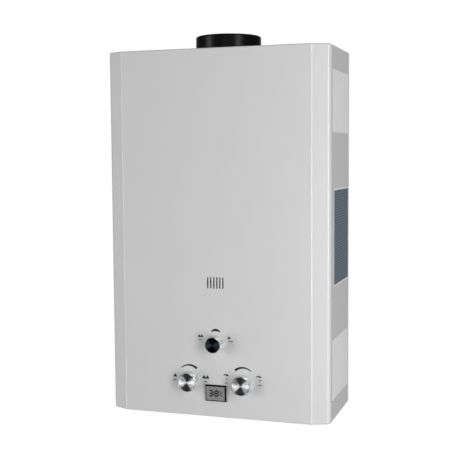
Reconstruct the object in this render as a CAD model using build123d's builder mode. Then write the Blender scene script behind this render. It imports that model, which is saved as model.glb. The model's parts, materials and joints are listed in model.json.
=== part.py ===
# Wall-hung tankless gas water heater, in millimetres.
# +Z is up, the wall plane is Y = 0, the front faces -Y, and the origin is the middle of the wall hole pattern.
# Names ending in _depth for a place are distances out from the wall.
import os
from math import cos, radians, sin

from build123d import *

os.makedirs("parts", exist_ok=True)

# Case
case_width = 380.0
case_height = 606.0
case_depth = 160.0
sheet = 1.0
wall_reveal = 1.0
nest_gap = 0.3
run_gap = 0.05
overrun = 2.0

# Folded front cover
strip_width = 27.8
strip_setback = 12.5
side_bend = 8.0
fold_bend = 3.0
rim_round = 2.5
lip_gap = 2.0

# Pressed side louvres
louvre_count = 8
louvre_front_margin = 25.0
louvre_back_margin = 7.0
louvre_land = 2.0
louvre_height = 103.0
louvre_press = 8.0
upper_louvre_drop = 36.0
lower_louvre_rise = 32.0

# Flame-sight slots
slot_count = 6
slot_pitch = 5.25
slot_width = 2.2
slot_height = 18.7
slot_rise = 224.2

# Back plate and wall holes
bead_length = 170.0
bead_width = 14.0
bead_depth = 3.0
bead_level_shares = (-0.62, 0.45, 0.72)
wall_hole_radius = 4.0
wall_hole_pitch_x = 300.0
wall_hole_pitch_z = 540.0

# Top and bottom panels
panel_flange = 15.0
hole_gap = 1.2
vent_count = 10
vent_pitch = 12.0
vent_width = 4.0
vent_margin = 13.0

# Flue collar and draft hood
flue_radius = 55.0
flue_hole_sides = 12
flue_hole_margin = 1.0
collar_wall = 4.0
collar_height = 25.0
collar_bevel = 3.0
hood_crown = 116.0
relief_width = 90.0
relief_height = 18.0
relief_drop = 12.0

# Combustion chamber and finned exchanger core
chamber_width_share = 0.6316
chamber_space = 22.0
chamber_height = 226.0
chamber_wall = 1.0
flame_gap = 26.0
core_height = 44.0
core_wall = 6.0
passage_count = 16
fin_thickness = 2.0
header_reach = 20.0
header_inset = 16.0
header_height = 26.0
header_bevel = 5.0
bracket_width = 30.0
bracket_foot = 14.0
bracket_inset = 45.0
bracket_rise = 91.0

# Water pipes
tube_radius = 7.0
nut_radius = 12.0
nut_length = 13.0
elbow_size = 20.0
elbow_bevel = 3.0
crossing_rise = 113.0
stub_radius = 10.48
stub_bore = 7.5
stub_bore_length = 30.0
stub_length = 20.0

# Burner
burner_count = 8
burner_end_space = 12.0
burner_thickness = 13.0
burner_height = 40.0
burner_slit = 5.0
burner_slit_share = 0.68
burner_mouth_height = 12.0
burner_mouth_reach = 22.0
burner_head_height = 15.0
port_count = 3
port_width = 3.0
port_depth = 4.0
frame_wall = 1.2
frame_lip = 6.0
intake_height = 18.0
mouth_rise = 12.0
sight_width = 40.0
sight_height = 22.0

# Gas manifold and injectors
manifold_overhang = 18.0
manifold_lug = 8.0
manifold_height = 22.0
manifold_thickness = 12.0
manifold_bevel = 3.0
manifold_front_gap = 3.0
manifold_stem = 26.0
injector_radius = 4.0
injector_gap = 0.8

# Ignition and flame sensing
electrode_radius = 3.5
electrode_front = 8.0
electrode_rear = 8.0
electrode_pin = 1.2
electrode_reach = 16.0
ignition_drop = 8.0
sensor_drop = 3.0
electrode_plate_margin = 5.0

# Valves
valve_setback = 82.0
valve_block_depth = 52.0
valve_block_height = 44.0
valve_bevel = 4.0
bore_depth = 26.0
season_bore_depth = 60.0
gas_block_left = 78.0
gas_block_right = 22.0
season_size = 34.0
season_depth = 36.0
season_front_gap = 8.0
season_leg_width = 26.0
season_leg_depth = 28.0
solenoid_size = 28.0
solenoid_length = 20.0
solenoid_step = 4.0
water_block_left = 30.0
water_block_right = 66.0
outlet_side = 52.0
diaphragm_radius = 26.0
diaphragm_thickness = 1.5
water_flange = 10.0
cover_flange = 10.5
cover_cavity_radius = 21.0
cover_cavity_depth = 7.5
cover_neck_radius = 9.0
cover_neck_length = 6.0
hanger_leg = 12.0
hanger_height = 26.0

# Push rod and microswitch
rod_radius = 2.5
rod_travel = 4.0
rod_plate_radius = 16.0
rod_plate_thickness = 2.0
rod_entry = 14.0
rod_collar_radius = 6.0
rod_collar_thickness = 2.0
rod_collar_place = -8.0
lever_gap = 0.8
lever_thickness = 1.0
lever_width = 5.0
lever_arm = 14.5
lever_overlap = 1.5
lever_hub_radius = 2.2
lever_pin_radius = 1.0
switch_length = 20.0
switch_height = 11.0
switch_width = 9.0
switch_ear = 1.4
switch_clearance = 0.6
strap_thickness = 1.2
strap_foot = 20.0

# Knobs
knob_spacing = 93.0
knob_rise = 58.0
season_rise = 123.7
knob_radius = 15.5
knob_height = 14.0
season_knob_radius = 13.2
season_knob_height = 17.0
knob_gap = 0.6
knob_edge = 0.8
pointer_width = 1.2
pointer_length = 4.0
pointer_sink = 0.6
pointer_angle = 150.0
pointer_place_share = 0.72
spindle_radius = 4.0
knob_hole_radius = 7.0

# Display
display_width = 36.4
display_height = 27.5
display_rise = 40.6
display_proud = 4.0
display_frame = 2.2
display_bevel = 0.8
lcd_recess = 0.6
display_housing_length = 12.0

# Electrical pieces
controller_width = 70.0
controller_height = 58.0
controller_gap = 27.0
controller_inset = 63.0
controller_rise = 123.0
controller_bevel = 3.0
controller_ear = 9.0
cell_radius = 16.5
cell_length = 61.5
cell_pitch = 35.0
box_wall = 1.6
box_inset = 55.0
box_flange = 4.0
lid_thickness = 2.0
lid_drop = 0.5
lid_margin = 1.0
lid_hinge_gap = 4.0
lid_pin_radius = 1.4
lid_knuckle_radius = 2.2
lid_knuckle_length = 50.0
lid_ear = 5.0
lid_notch_width = 16.0
lid_notch_depth = 5.0

# Places that follow from the sizes above
half_width = case_width / 2
case_top = case_height / 2
case_bottom = -case_top
knob_level = case_bottom + knob_rise
season_level = case_bottom + season_rise
slot_level = case_bottom + slot_rise
display_level = case_bottom + display_rise
lower_knob_side = knob_spacing / 2
inner_front = case_depth - sheet
flue_depth = case_depth / 2
cover_lip = case_depth - flue_depth - flue_radius - lip_gap
side_lip = side_bend + sheet
panel_half = half_width - rim_round - nest_gap
panel_front = case_depth - strip_setback - sheet - nest_gap
panel_nose = inner_front - nest_gap
panel_top = case_top - sheet
panel_floor = case_bottom + sheet
panel_upper = panel_floor + sheet
louvre_pitch = (case_depth - louvre_front_margin - louvre_back_margin) / louvre_count
chamber_width = chamber_width_share * case_width
chamber_depth = case_depth - 2 * chamber_space
chamber_bottom = slot_level + flame_gap / 2
core_top = chamber_bottom + chamber_height
core_bottom = core_top - core_height
chamber_half = chamber_width / 2
chamber_front = flue_depth + chamber_depth / 2
chamber_rear = flue_depth - chamber_depth / 2
burner_top = slot_level - flame_gap / 2
burner_bottom = burner_top - burner_height
frame_bottom = burner_bottom - frame_wall
mouth_level = burner_bottom + mouth_rise
burner_pitch = (chamber_width - 2 * burner_end_space) / burner_count
pipe_side = chamber_half + header_reach / 2
header_level = (core_top + core_bottom) / 2
header_base = header_level - header_height / 2
valve_depth = case_depth - valve_setback
valve_top = knob_level + valve_block_height / 2
valve_base = knob_level - valve_block_height / 2
valve_front = valve_depth + valve_block_depth / 2
valve_rear = valve_depth - valve_block_depth / 2
manifold_front = inner_front - manifold_front_gap
manifold_rear = manifold_front - manifold_thickness
season_front = inner_front - season_front_gap
season_top = season_level + season_size / 2
season_base = season_level - season_size / 2
controller_side = half_width - controller_inset
box_side = half_width - box_inset
battery_width = cell_pitch + 2 * cell_radius + 2 * nest_gap + 2 * box_wall
battery_depth = 2 * cell_radius + 2 * nest_gap + 2 * box_wall
battery_roof = panel_floor + cell_length + 2 * nest_gap + box_wall


def save(piece, label):
    """Labels a finished piece and writes its file."""
    piece.part.label = label
    export_step(piece.part, f"parts/{label}.step")


def at_depth(distance):
    """Upright plane at a distance out from the wall, facing the front."""
    return Plane.XZ.offset(distance)


# Front cover: one folded sheet with rounded rims, pressed louvres, slots, knob holes and display window
louvre_fronts = [louvre_front_margin - case_depth + n * louvre_pitch for n in range(louvre_count)]
louvre_length = louvre_pitch - louvre_land
louvre_levels = (case_top - upper_louvre_drop - louvre_height, case_bottom + lower_louvre_rise)
pressed = half_width - louvre_press
window_width = display_width - 2 * display_frame
window_height = display_height - 2 * display_frame

with BuildPart() as front_cover:
    with BuildSketch(Plane.XY.offset(case_bottom)):
        with BuildLine():
            Polyline(
                (-half_width, -wall_reveal),
                (-half_width, strip_setback - case_depth),
                (strip_width - half_width, -case_depth),
                (half_width - strip_width, -case_depth),
                (half_width, strip_setback - case_depth),
                (half_width, -wall_reveal),
                close=True,
            )
        make_face()
        fillet(vertices().group_by(Axis.Y)[1], side_bend)
        fillet(vertices().group_by(Axis.Y)[0], fold_bend)
    extrude(amount=case_height)
    offset(amount=-sheet, openings=faces().sort_by(Axis.Y)[-1])
    top_rim = faces().sort_by(Axis.Z)[-1].edges().sort_by(Axis.Y)
    bottom_rim = faces().sort_by(Axis.Z)[0].edges().sort_by(Axis.Y)
    fillet(top_rim[:-1] + bottom_rim[:-1], rim_round)
    with BuildSketch(Plane.XY.offset(case_bottom - overrun)):
        with Locations((0, (cover_lip - case_depth) / 2)):
            Rectangle(case_width - 2 * side_lip, case_depth - cover_lip)
        chamfer(vertices().group_by(Axis.Y)[0], side_bend)
    extrude(amount=case_height + 2 * overrun, mode=Mode.SUBTRACT)
    with BuildSketch(at_depth(inner_front - overrun)):
        with Locations((0, slot_level)):
            with GridLocations(slot_pitch, 0, slot_count, 1):
                Rectangle(slot_width, slot_height)
        with Locations((-lower_knob_side, knob_level), (lower_knob_side, knob_level), (0, season_level)):
            Circle(knob_hole_radius)
        with Locations((0, display_level)):
            Rectangle(window_width, window_height)
    extrude(amount=sheet + 2 * overrun, mode=Mode.SUBTRACT)
    for level in louvre_levels:
        with BuildSketch(Plane.XY.offset(level)):
            for front in louvre_fronts:
                with Locations((half_width, front + louvre_length / 2)):
                    Rectangle(2 * sheet + nest_gap, louvre_length)
            mirror(about=Plane.YZ)
        extrude(amount=louvre_height, mode=Mode.SUBTRACT)
        with BuildSketch(Plane.XY.offset(level)):
            for front in louvre_fronts:
                with BuildLine():
                    Polyline(
                        (half_width, front + louvre_length),
                        (pressed, front),
                        (pressed - sheet, front),
                        (half_width - sheet, front + louvre_length),
                        close=True,
                    )
                make_face()
            mirror(about=Plane.YZ)
        extrude(amount=louvre_height)
        for end in (level, level + louvre_height - sheet):
            with BuildSketch(Plane.XY.offset(end)):
                for front in louvre_fronts:
                    with BuildLine():
                        Polyline(
                            (half_width, front + louvre_length),
                            (pressed, front),
                            (half_width, front),
                            close=True,
                        )
                    make_face()
                mirror(about=Plane.YZ)
            extrude(amount=sheet)
save(front_cover, "front_cover")

# Back plate: flat sheet with shallow side flanges, stiffening beads and four wall holes
plate_half = half_width - sheet - nest_gap
plate_top = case_top - rim_round - nest_gap
plate_flange = louvre_back_margin + louvre_land - nest_gap
bead_places = [(0, share * plate_top) for share in bead_level_shares]

with BuildPart() as back_plate:
    with BuildSketch(Plane.XY.offset(-plate_top)):
        with Locations((0, -plate_flange / 2)):
            Rectangle(2 * plate_half, plate_flange)
        with Locations((0, -sheet - plate_flange / 2)):
            Rectangle(2 * (plate_half - sheet), plate_flange, mode=Mode.SUBTRACT)
    extrude(amount=2 * plate_top)
    with BuildSketch(at_depth(sheet)):
        with Locations(*bead_places):
            Rectangle(bead_length, bead_width)
    extrude(amount=bead_depth, taper=45)
    with BuildSketch(Plane.XZ):
        with Locations(*bead_places):
            Rectangle(bead_length, bead_width)
    extrude(amount=bead_depth, taper=45, mode=Mode.SUBTRACT)
    with BuildSketch(Plane.XZ):
        with GridLocations(wall_hole_pitch_x, wall_hole_pitch_z, 2, 2):
            Circle(wall_hole_radius)
    extrude(amount=sheet, mode=Mode.SUBTRACT)
save(back_plate, "back_plate")

# Outline of the top and bottom panels, which follows the folds of the cover
nose_half = half_width - strip_width - fold_bend
panel_outline = [
    (-panel_half, -sheet),
    (-panel_half, side_bend - panel_front),
    (side_bend - panel_half, -panel_front),
    (-nose_half, -panel_nose),
    (nose_half, -panel_nose),
    (panel_half - side_bend, -panel_front),
    (panel_half, side_bend - panel_front),
    (panel_half, -sheet),
]

# Top panel: shelf with a flue hole, hung on the back plate by its rear flange
with BuildPart() as top_panel:
    with BuildSketch(Plane.XY.offset(panel_top - sheet)):
        with BuildLine():
            Polyline(*panel_outline, close=True)
        make_face()
        with Locations((0, -flue_depth)):
            RegularPolygon(flue_radius - flue_hole_margin, flue_hole_sides, mode=Mode.SUBTRACT)
    extrude(amount=sheet)
    with BuildSketch(at_depth(sheet)):
        with Locations((0, panel_top - panel_flange / 2)):
            Rectangle(2 * panel_half, panel_flange)
    extrude(amount=sheet)
save(top_panel, "top_panel")

# Bottom panel: shelf with holes for the three connections, the battery box and intake vents
connection_sides = (-lower_knob_side, lower_knob_side, -pipe_side)
connection_rear = valve_depth - stub_radius - hole_gap
vent_length = connection_rear - 2 * vent_margin

with BuildPart() as bottom_panel:
    with BuildSketch(Plane.XY.offset(panel_floor)):
        with BuildLine():
            Polyline(*panel_outline, close=True)
        make_face()
        with Locations(*[(side, -valve_depth) for side in connection_sides]):
            Circle(stub_radius + hole_gap, mode=Mode.SUBTRACT)
        with Locations((box_side, -valve_depth)):
            Rectangle(battery_width + 2 * nest_gap, battery_depth + 2 * nest_gap, mode=Mode.SUBTRACT)
        with Locations((0, -connection_rear / 2)):
            with GridLocations(vent_pitch, 0, vent_count, 1):
                Rectangle(vent_width, vent_length, mode=Mode.SUBTRACT)
    extrude(amount=sheet)
    with BuildSketch(at_depth(sheet)):
        with Locations((0, panel_floor + panel_flange / 2)):
            Rectangle(2 * panel_half, panel_flange)
    extrude(amount=sheet)
save(bottom_panel, "bottom_panel")

# Flue collar: turned ring with a bevelled rim
collar_top = case_top + collar_height

with BuildPart() as flue_collar:
    with BuildSketch(at_depth(flue_depth)):
        with BuildLine():
            Polyline(
                (flue_radius - collar_wall, panel_top),
                (flue_radius, panel_top),
                (flue_radius, collar_top - collar_bevel),
                (flue_radius - collar_bevel, collar_top),
                (flue_radius - collar_wall, collar_top),
                close=True,
            )
        make_face()
    revolve(axis=Axis((0, -flue_depth, 0), (0, 0, 1)))
save(flue_collar, "flue_collar")

# Draft hood: sheet funnel from the exchanger core to the flue hole, with a relief opening at the rear
hood_top = panel_top - sheet

with BuildPart() as draft_hood:
    with BuildSketch(at_depth(chamber_rear)):
        with BuildLine():
            Polyline(
                (-chamber_half, core_top),
                (chamber_half, core_top),
                (hood_crown / 2, hood_top),
                (-hood_crown / 2, hood_top),
                close=True,
            )
        make_face()
    extrude(amount=chamber_depth)
    offset(amount=-sheet, openings=faces().filter_by(Axis.Z))
    with BuildSketch(Plane.XZ):
        with Locations((0, hood_top - relief_drop - relief_height / 2)):
            Rectangle(relief_width, relief_height)
    extrude(amount=flue_depth, mode=Mode.SUBTRACT)
save(draft_hood, "draft_hood")

# Exchanger core: brazed block of fins with a water header on either side
passage_pitch = (chamber_width - 2 * core_wall + fin_thickness) / passage_count
passage_width = passage_pitch - fin_thickness

with BuildPart() as exchanger_core:
    with BuildSketch(Plane.XY.offset(core_bottom)):
        with Locations((0, -flue_depth)):
            Rectangle(chamber_width, chamber_depth)
            with GridLocations(passage_pitch, 0, passage_count, 1):
                Rectangle(passage_width, chamber_depth - 2 * core_wall, mode=Mode.SUBTRACT)
    extrude(amount=core_height)
    for side in (-1, 1):
        with BuildSketch(Plane.YZ.offset(side * chamber_half)):
            with Locations((-flue_depth, header_level)):
                Rectangle(chamber_depth - 2 * header_inset, header_height)
        extrude(amount=side * header_reach)
        chamfer(faces().sort_by(Axis.X)[0 if side < 0 else -1].edges(), header_bevel)
save(exchanger_core, "exchanger_core")

# Combustion chamber: open copper box between the burner frame and the exchanger core
with BuildPart() as combustion_chamber:
    with BuildSketch(Plane.XY.offset(chamber_bottom)):
        with Locations((0, -flue_depth)):
            Rectangle(chamber_width, chamber_depth)
            Rectangle(chamber_width - 2 * chamber_wall, chamber_depth - 2 * chamber_wall, mode=Mode.SUBTRACT)
    extrude(amount=core_bottom - chamber_bottom)
save(combustion_chamber, "combustion_chamber")

# Chamber brackets: hat sections that hold the chamber off the back plate
bracket_level = chamber_bottom + bracket_rise
bracket_half = bracket_width / 2

with BuildPart() as chamber_brackets:
    for middle in (bracket_inset - chamber_half, chamber_half - bracket_inset):
        with BuildSketch(Plane((middle, 0, bracket_level - bracket_half))):
            with BuildLine():
                Polyline(
                    (-bracket_half - bracket_foot, -sheet),
                    (-bracket_half, -sheet),
                    (-bracket_half, sheet - chamber_rear),
                    (bracket_half, sheet - chamber_rear),
                    (bracket_half, -sheet),
                    (bracket_half + bracket_foot, -sheet),
                    (bracket_half + bracket_foot, -2 * sheet),
                    (bracket_half + sheet, -2 * sheet),
                    (bracket_half + sheet, -chamber_rear),
                    (-bracket_half - sheet, -chamber_rear),
                    (-bracket_half - sheet, -2 * sheet),
                    (-bracket_half - bracket_foot, -2 * sheet),
                    close=True,
                )
            make_face()
        extrude(amount=bracket_width)
save(chamber_brackets, "chamber_brackets")

# Cold pipe: up from the water valve, across under the burner and up to the right header
crossing_level = case_bottom + crossing_rise
nut_top = valve_top + nut_length

with BuildPart() as cold_pipe:
    with BuildSketch(at_depth(valve_depth - elbow_size / 2)):
        with Locations((outlet_side, crossing_level), (pipe_side, crossing_level)):
            Rectangle(elbow_size, elbow_size)
        chamfer(vertices(), elbow_bevel)
    extrude(amount=elbow_size)
    with BuildSketch(Plane.XY.offset(nut_top)):
        with Locations((outlet_side, -valve_depth)):
            Circle(tube_radius)
    extrude(amount=crossing_level - elbow_size / 2 - nut_top)
    with BuildSketch(Plane.YZ.offset(outlet_side + elbow_size / 2)):
        with Locations((-valve_depth, crossing_level)):
            Circle(tube_radius)
    extrude(amount=pipe_side - outlet_side - elbow_size)
    with BuildSketch(Plane.XY.offset(crossing_level + elbow_size / 2)):
        with Locations((pipe_side, -valve_depth)):
            Circle(tube_radius)
    extrude(amount=header_base - crossing_level - elbow_size / 2)
save(cold_pipe, "cold_pipe")


# Pipe tails: round ends below the case for screwed connections, with an open bore
def pipe_tail(side, top):
    """Connection tail at one side place, reaching up to a level."""
    with BuildPart() as tail:
        with BuildSketch(Plane.XY.offset(case_bottom - stub_length)):
            with Locations((side, -valve_depth)):
                Circle(stub_radius)
        extrude(amount=top - case_bottom + stub_length)
        with BuildSketch(Plane.XY.offset(case_bottom - stub_length)):
            with Locations((side, -valve_depth)):
                Circle(stub_bore)
        extrude(amount=stub_bore_length, mode=Mode.SUBTRACT)
    return tail


# Hot pipe: straight down from the left header to its own tail
tail_top = panel_upper + 2 * tube_radius
hot_tail = pipe_tail(-pipe_side, tail_top)

with BuildPart() as hot_pipe:
    add(hot_tail.part)
    with BuildSketch(Plane.XY.offset(tail_top)):
        with Locations((-pipe_side, -valve_depth)):
            Circle(tube_radius)
    extrude(amount=header_base - tail_top)
save(hot_pipe, "hot_pipe")

# Union nut between the water valve and the cold pipe
with BuildPart() as union_nut:
    with BuildSketch(Plane.XY.offset(valve_top)):
        with Locations((outlet_side, -valve_depth)):
            RegularPolygon(nut_radius, 6)
    extrude(amount=nut_length)
save(union_nut, "union_nut")

# Burner frame: open box under the chamber with a floor lip, an intake window, a sight window and electrode holes
burner_sides = [(n - (burner_count - 1) / 2) * burner_pitch for n in range(burner_count)]
ignition_side = 2 * burner_pitch
ignition_place = (ignition_side, slot_level - ignition_drop)
sensor_place = (ignition_side + burner_pitch, slot_level - sensor_drop)
intake_width = burner_sides[-1] - burner_sides[0] + burner_thickness

with BuildPart() as burner_frame:
    with BuildSketch(Plane.XY.offset(frame_bottom)):
        with Locations((0, -flue_depth)):
            Rectangle(chamber_width, chamber_depth)
    extrude(amount=chamber_bottom - frame_bottom)
    with BuildSketch(Plane.XY.offset(burner_bottom)):
        with Locations((0, -flue_depth)):
            Rectangle(chamber_width - 2 * frame_wall, chamber_depth - 2 * frame_wall)
    extrude(amount=chamber_bottom - burner_bottom, mode=Mode.SUBTRACT)
    with BuildSketch(Plane.XY.offset(frame_bottom)):
        with Locations((0, -flue_depth)):
            Rectangle(chamber_width - 2 * frame_lip, chamber_depth - 2 * frame_lip)
    extrude(amount=frame_wall, mode=Mode.SUBTRACT)
    with BuildSketch(at_depth(chamber_front - frame_wall)):
        with Locations((0, mouth_level)):
            Rectangle(intake_width, intake_height)
        with Locations((0, slot_level)):
            Rectangle(sight_width, sight_height)
        with Locations(ignition_place, sensor_place):
            RegularPolygon(electrode_radius + run_gap, 6)
    extrude(amount=frame_wall, mode=Mode.SUBTRACT)
save(burner_frame, "burner_frame")

# Burner bars: folded bars with a front mouth, a slit under the head and ports along the top
bar_front = chamber_front - frame_wall - nest_gap
bar_rear = chamber_rear + frame_wall + nest_gap
slit_level = burner_top - burner_head_height
slit_rear = bar_front - burner_slit_share * (bar_front - bar_rear)
port_pitch = (bar_front - bar_rear) / port_count
mouth_base = mouth_level - burner_mouth_height / 2

with BuildPart() as burner_bars:
    for side in burner_sides:
        with BuildSketch(Plane.YZ.offset(side - burner_thickness / 2)):
            with BuildLine():
                Polyline(
                    (-bar_front, burner_bottom),
                    (-bar_front, mouth_base),
                    (burner_mouth_reach - bar_front, mouth_level),
                    (-bar_front, mouth_base + burner_mouth_height),
                    (-bar_front, slit_level - burner_slit),
                    (-slit_rear, slit_level - burner_slit),
                    (-slit_rear, slit_level),
                    (-bar_front, slit_level),
                    (-bar_front, burner_top),
                    (-bar_rear, burner_top),
                    (-bar_rear, burner_bottom),
                    close=True,
                )
            make_face()
            with Locations((-(bar_front + bar_rear) / 2, burner_top)):
                with GridLocations(port_pitch, 0, port_count, 1):
                    Rectangle(port_width, 2 * port_depth, mode=Mode.SUBTRACT)
        extrude(amount=burner_thickness)
save(burner_bars, "burner_bars")

# Gas manifold: cast bar on the frame's front, with end lugs and a stem down to the season valve
manifold_half = burner_sides[-1] + manifold_overhang

with BuildPart() as gas_manifold:
    with BuildSketch(at_depth(manifold_rear)):
        with Locations((0, mouth_level)):
            Rectangle(2 * manifold_half, manifold_height)
        chamfer(vertices(), manifold_bevel)
        with BuildLine():
            Polyline(
                (-manifold_stem, mouth_level),
                (manifold_stem, mouth_level),
                (manifold_stem / 2, season_top),
                (-manifold_stem / 2, season_top),
                close=True,
            )
        make_face()
    extrude(amount=manifold_thickness)
    with BuildSketch(at_depth(chamber_front)):
        with Locations((0, mouth_level)):
            with GridLocations(2 * manifold_half - manifold_lug, 0, 2, 1):
                Rectangle(manifold_lug, manifold_height - 2 * manifold_bevel)
    extrude(amount=manifold_rear - chamber_front)
save(gas_manifold, "gas_manifold")

# Gas injectors: hexagonal brass jets, one for each burner mouth
with BuildPart() as gas_injectors:
    with BuildSketch(at_depth(chamber_front + injector_gap)):
        with Locations(*[(side, mouth_level) for side in burner_sides]):
            RegularPolygon(injector_radius, 6)
    extrude(amount=manifold_rear - chamber_front - injector_gap)
save(gas_injectors, "gas_injectors")

# Electrode bracket: plate on the frame's front that holds both ceramics
plate_low = min(ignition_place[1], sensor_place[1]) - electrode_radius - electrode_plate_margin
plate_high = max(ignition_place[1], sensor_place[1]) + electrode_radius + electrode_plate_margin
plate_width = burner_pitch + 2 * electrode_radius + 2 * electrode_plate_margin

with BuildPart() as electrode_bracket:
    with BuildSketch(at_depth(chamber_front)):
        with Locations((ignition_side + burner_pitch / 2, (plate_low + plate_high) / 2)):
            Rectangle(plate_width, plate_high - plate_low)
        chamfer(vertices(), electrode_plate_margin / 2)
        with Locations(ignition_place, sensor_place):
            RegularPolygon(electrode_radius + run_gap, 6, mode=Mode.SUBTRACT)
    extrude(amount=strap_thickness)
save(electrode_bracket, "electrode_bracket")


# Electrodes: hexagonal ceramic with a collar against the bracket, and a metal pin over the burners
def electrode(place):
    """Ceramic rod and pin through the frame's front wall."""
    with BuildPart() as rod:
        with BuildSketch(at_depth(chamber_front - electrode_rear)):
            with Locations(place):
                RegularPolygon(electrode_radius, 6)
        extrude(amount=electrode_rear + electrode_front)
        with BuildSketch(at_depth(chamber_front + strap_thickness)):
            with Locations(place):
                RegularPolygon(electrode_radius + sheet, 6)
        extrude(amount=2 * sheet)
        with BuildSketch(at_depth(chamber_front - electrode_rear)):
            with Locations(place):
                RegularPolygon(electrode_pin, 6)
        extrude(amount=-electrode_reach)
    return rod


save(electrode(ignition_place), "ignition_electrode")
save(electrode(sensor_place), "flame_sensor")

# Gas valve body: cast block with its inlet tail, a spindle bore at the front and a push rod bore at the right
gas_tail = pipe_tail(-lower_knob_side, valve_base)

with BuildPart() as gas_valve_body:
    with BuildSketch(at_depth(valve_rear)):
        with Locations((-(gas_block_left + gas_block_right) / 2, knob_level)):
            Rectangle(gas_block_left - gas_block_right, valve_block_height)
        chamfer(vertices(), valve_bevel)
    extrude(amount=valve_block_depth)
    add(gas_tail.part)
    with BuildSketch(at_depth(valve_front)):
        with Locations((-lower_knob_side, knob_level)):
            Circle(spindle_radius + run_gap)
    extrude(amount=-bore_depth, mode=Mode.SUBTRACT)
    with BuildSketch(Plane.YZ.offset(-gas_block_right)):
        with Locations((-valve_depth, knob_level)):
            Circle(rod_radius + run_gap)
    extrude(amount=-rod_entry - rod_travel - overrun, mode=Mode.SUBTRACT)
save(gas_valve_body, "gas_valve_body")

# Solenoid valve: shut-off coil in its frame on the gas valve's left end
with BuildPart() as solenoid_valve:
    with BuildSketch(Plane.YZ.offset(-gas_block_left)):
        with Locations((-valve_depth, knob_level)):
            Rectangle(solenoid_size, solenoid_size)
    extrude(amount=-solenoid_length)
    with BuildSketch(Plane.YZ.offset(-gas_block_left - solenoid_step)):
        with Locations((-valve_depth, knob_level)):
            Rectangle(solenoid_size + 2 * solenoid_step, solenoid_size)
            Rectangle(solenoid_size - solenoid_step, solenoid_size, mode=Mode.SUBTRACT)
        chamfer(vertices().group_by(Axis.X)[0] + vertices().group_by(Axis.X)[-1], solenoid_step)
    extrude(amount=2 * solenoid_step - solenoid_length)
save(solenoid_valve, "solenoid_valve")

# Season valve body: casting with a spindle bore, an arm to the rear and a leg down to the gas valve
season_half = season_size / 2
season_rear = season_front - season_depth
arm_rear = valve_depth - season_leg_depth / 2

with BuildPart() as season_valve_body:
    with BuildSketch(Plane.XY.offset(season_base)):
        with BuildLine():
            Polyline(
                (season_half, -season_front),
                (season_half, -arm_rear),
                (-gas_block_left, -arm_rear),
                (-gas_block_left, -season_rear),
                (-season_half, -season_rear),
                (-season_half, -season_front),
                close=True,
            )
        make_face()
        chamfer(vertices(), valve_bevel)
    extrude(amount=season_size)
    with BuildSketch(Plane.XY.offset(valve_top)):
        with Locations((season_leg_width / 2 - gas_block_left, -valve_depth)):
            Rectangle(season_leg_width, season_leg_depth)
        chamfer(vertices(), valve_bevel)
    extrude(amount=season_base - valve_top)
    with BuildSketch(at_depth(season_front)):
        with Locations((0, season_level)):
            Circle(spindle_radius + run_gap)
    extrude(amount=-season_bore_depth, mode=Mode.SUBTRACT)
save(season_valve_body, "season_valve_body")

# Valve hanger: bent strap from the back plate to the rear of both valves
with BuildPart() as valve_bracket:
    with BuildSketch(Plane.XY.offset(knob_level - hanger_height / 2)):
        with BuildLine():
            Polyline(
                (-gas_block_left - hanger_leg, -sheet),
                (-gas_block_left, -sheet),
                (-gas_block_left, strap_thickness - valve_rear),
                (water_block_right, strap_thickness - valve_rear),
                (water_block_right, -sheet),
                (water_block_right + hanger_leg, -sheet),
                (water_block_right + hanger_leg, -sheet - strap_thickness),
                (water_block_right + strap_thickness, -sheet - strap_thickness),
                (water_block_right + strap_thickness, -valve_rear),
                (-gas_block_left - strap_thickness, -valve_rear),
                (-gas_block_left - strap_thickness, -sheet - strap_thickness),
                (-gas_block_left - hanger_leg, -sheet - strap_thickness),
                close=True,
            )
        make_face()
    extrude(amount=hanger_height)
save(valve_bracket, "valve_bracket")

# Water valve body: casting with its inlet tail, an eight-sided flange and a spindle bore
water_flange_face = water_block_left - water_flange
diaphragm_face = water_flange_face - diaphragm_thickness
cover_face = diaphragm_face - cover_flange
rod_place = (-valve_depth, knob_level)
half_side_turn = 360 / 16
cold_tail = pipe_tail(lower_knob_side, valve_base)

with BuildPart() as water_valve_body:
    with BuildSketch(at_depth(valve_rear)):
        with Locations(((water_block_left + water_block_right) / 2, knob_level)):
            Rectangle(water_block_right - water_block_left, valve_block_height)
        chamfer(vertices(), valve_bevel)
    extrude(amount=valve_block_depth)
    with BuildSketch(Plane.YZ.offset(water_flange_face)):
        with Locations(rod_place):
            RegularPolygon(diaphragm_radius, 8, rotation=half_side_turn)
    extrude(amount=water_flange + valve_bevel)
    add(cold_tail.part)
    with BuildSketch(at_depth(valve_front)):
        with Locations((lower_knob_side, knob_level)):
            Circle(spindle_radius + run_gap)
    extrude(amount=-bore_depth, mode=Mode.SUBTRACT)
save(water_valve_body, "water_valve_body")

# Diaphragm: rubber sheet clamped between the water valve body and its cover
with BuildPart() as diaphragm:
    with BuildSketch(Plane.YZ.offset(diaphragm_face)):
        with Locations(rod_place):
            RegularPolygon(diaphragm_radius, 8, rotation=half_side_turn)
    extrude(amount=diaphragm_thickness)
save(diaphragm, "diaphragm")

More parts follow.
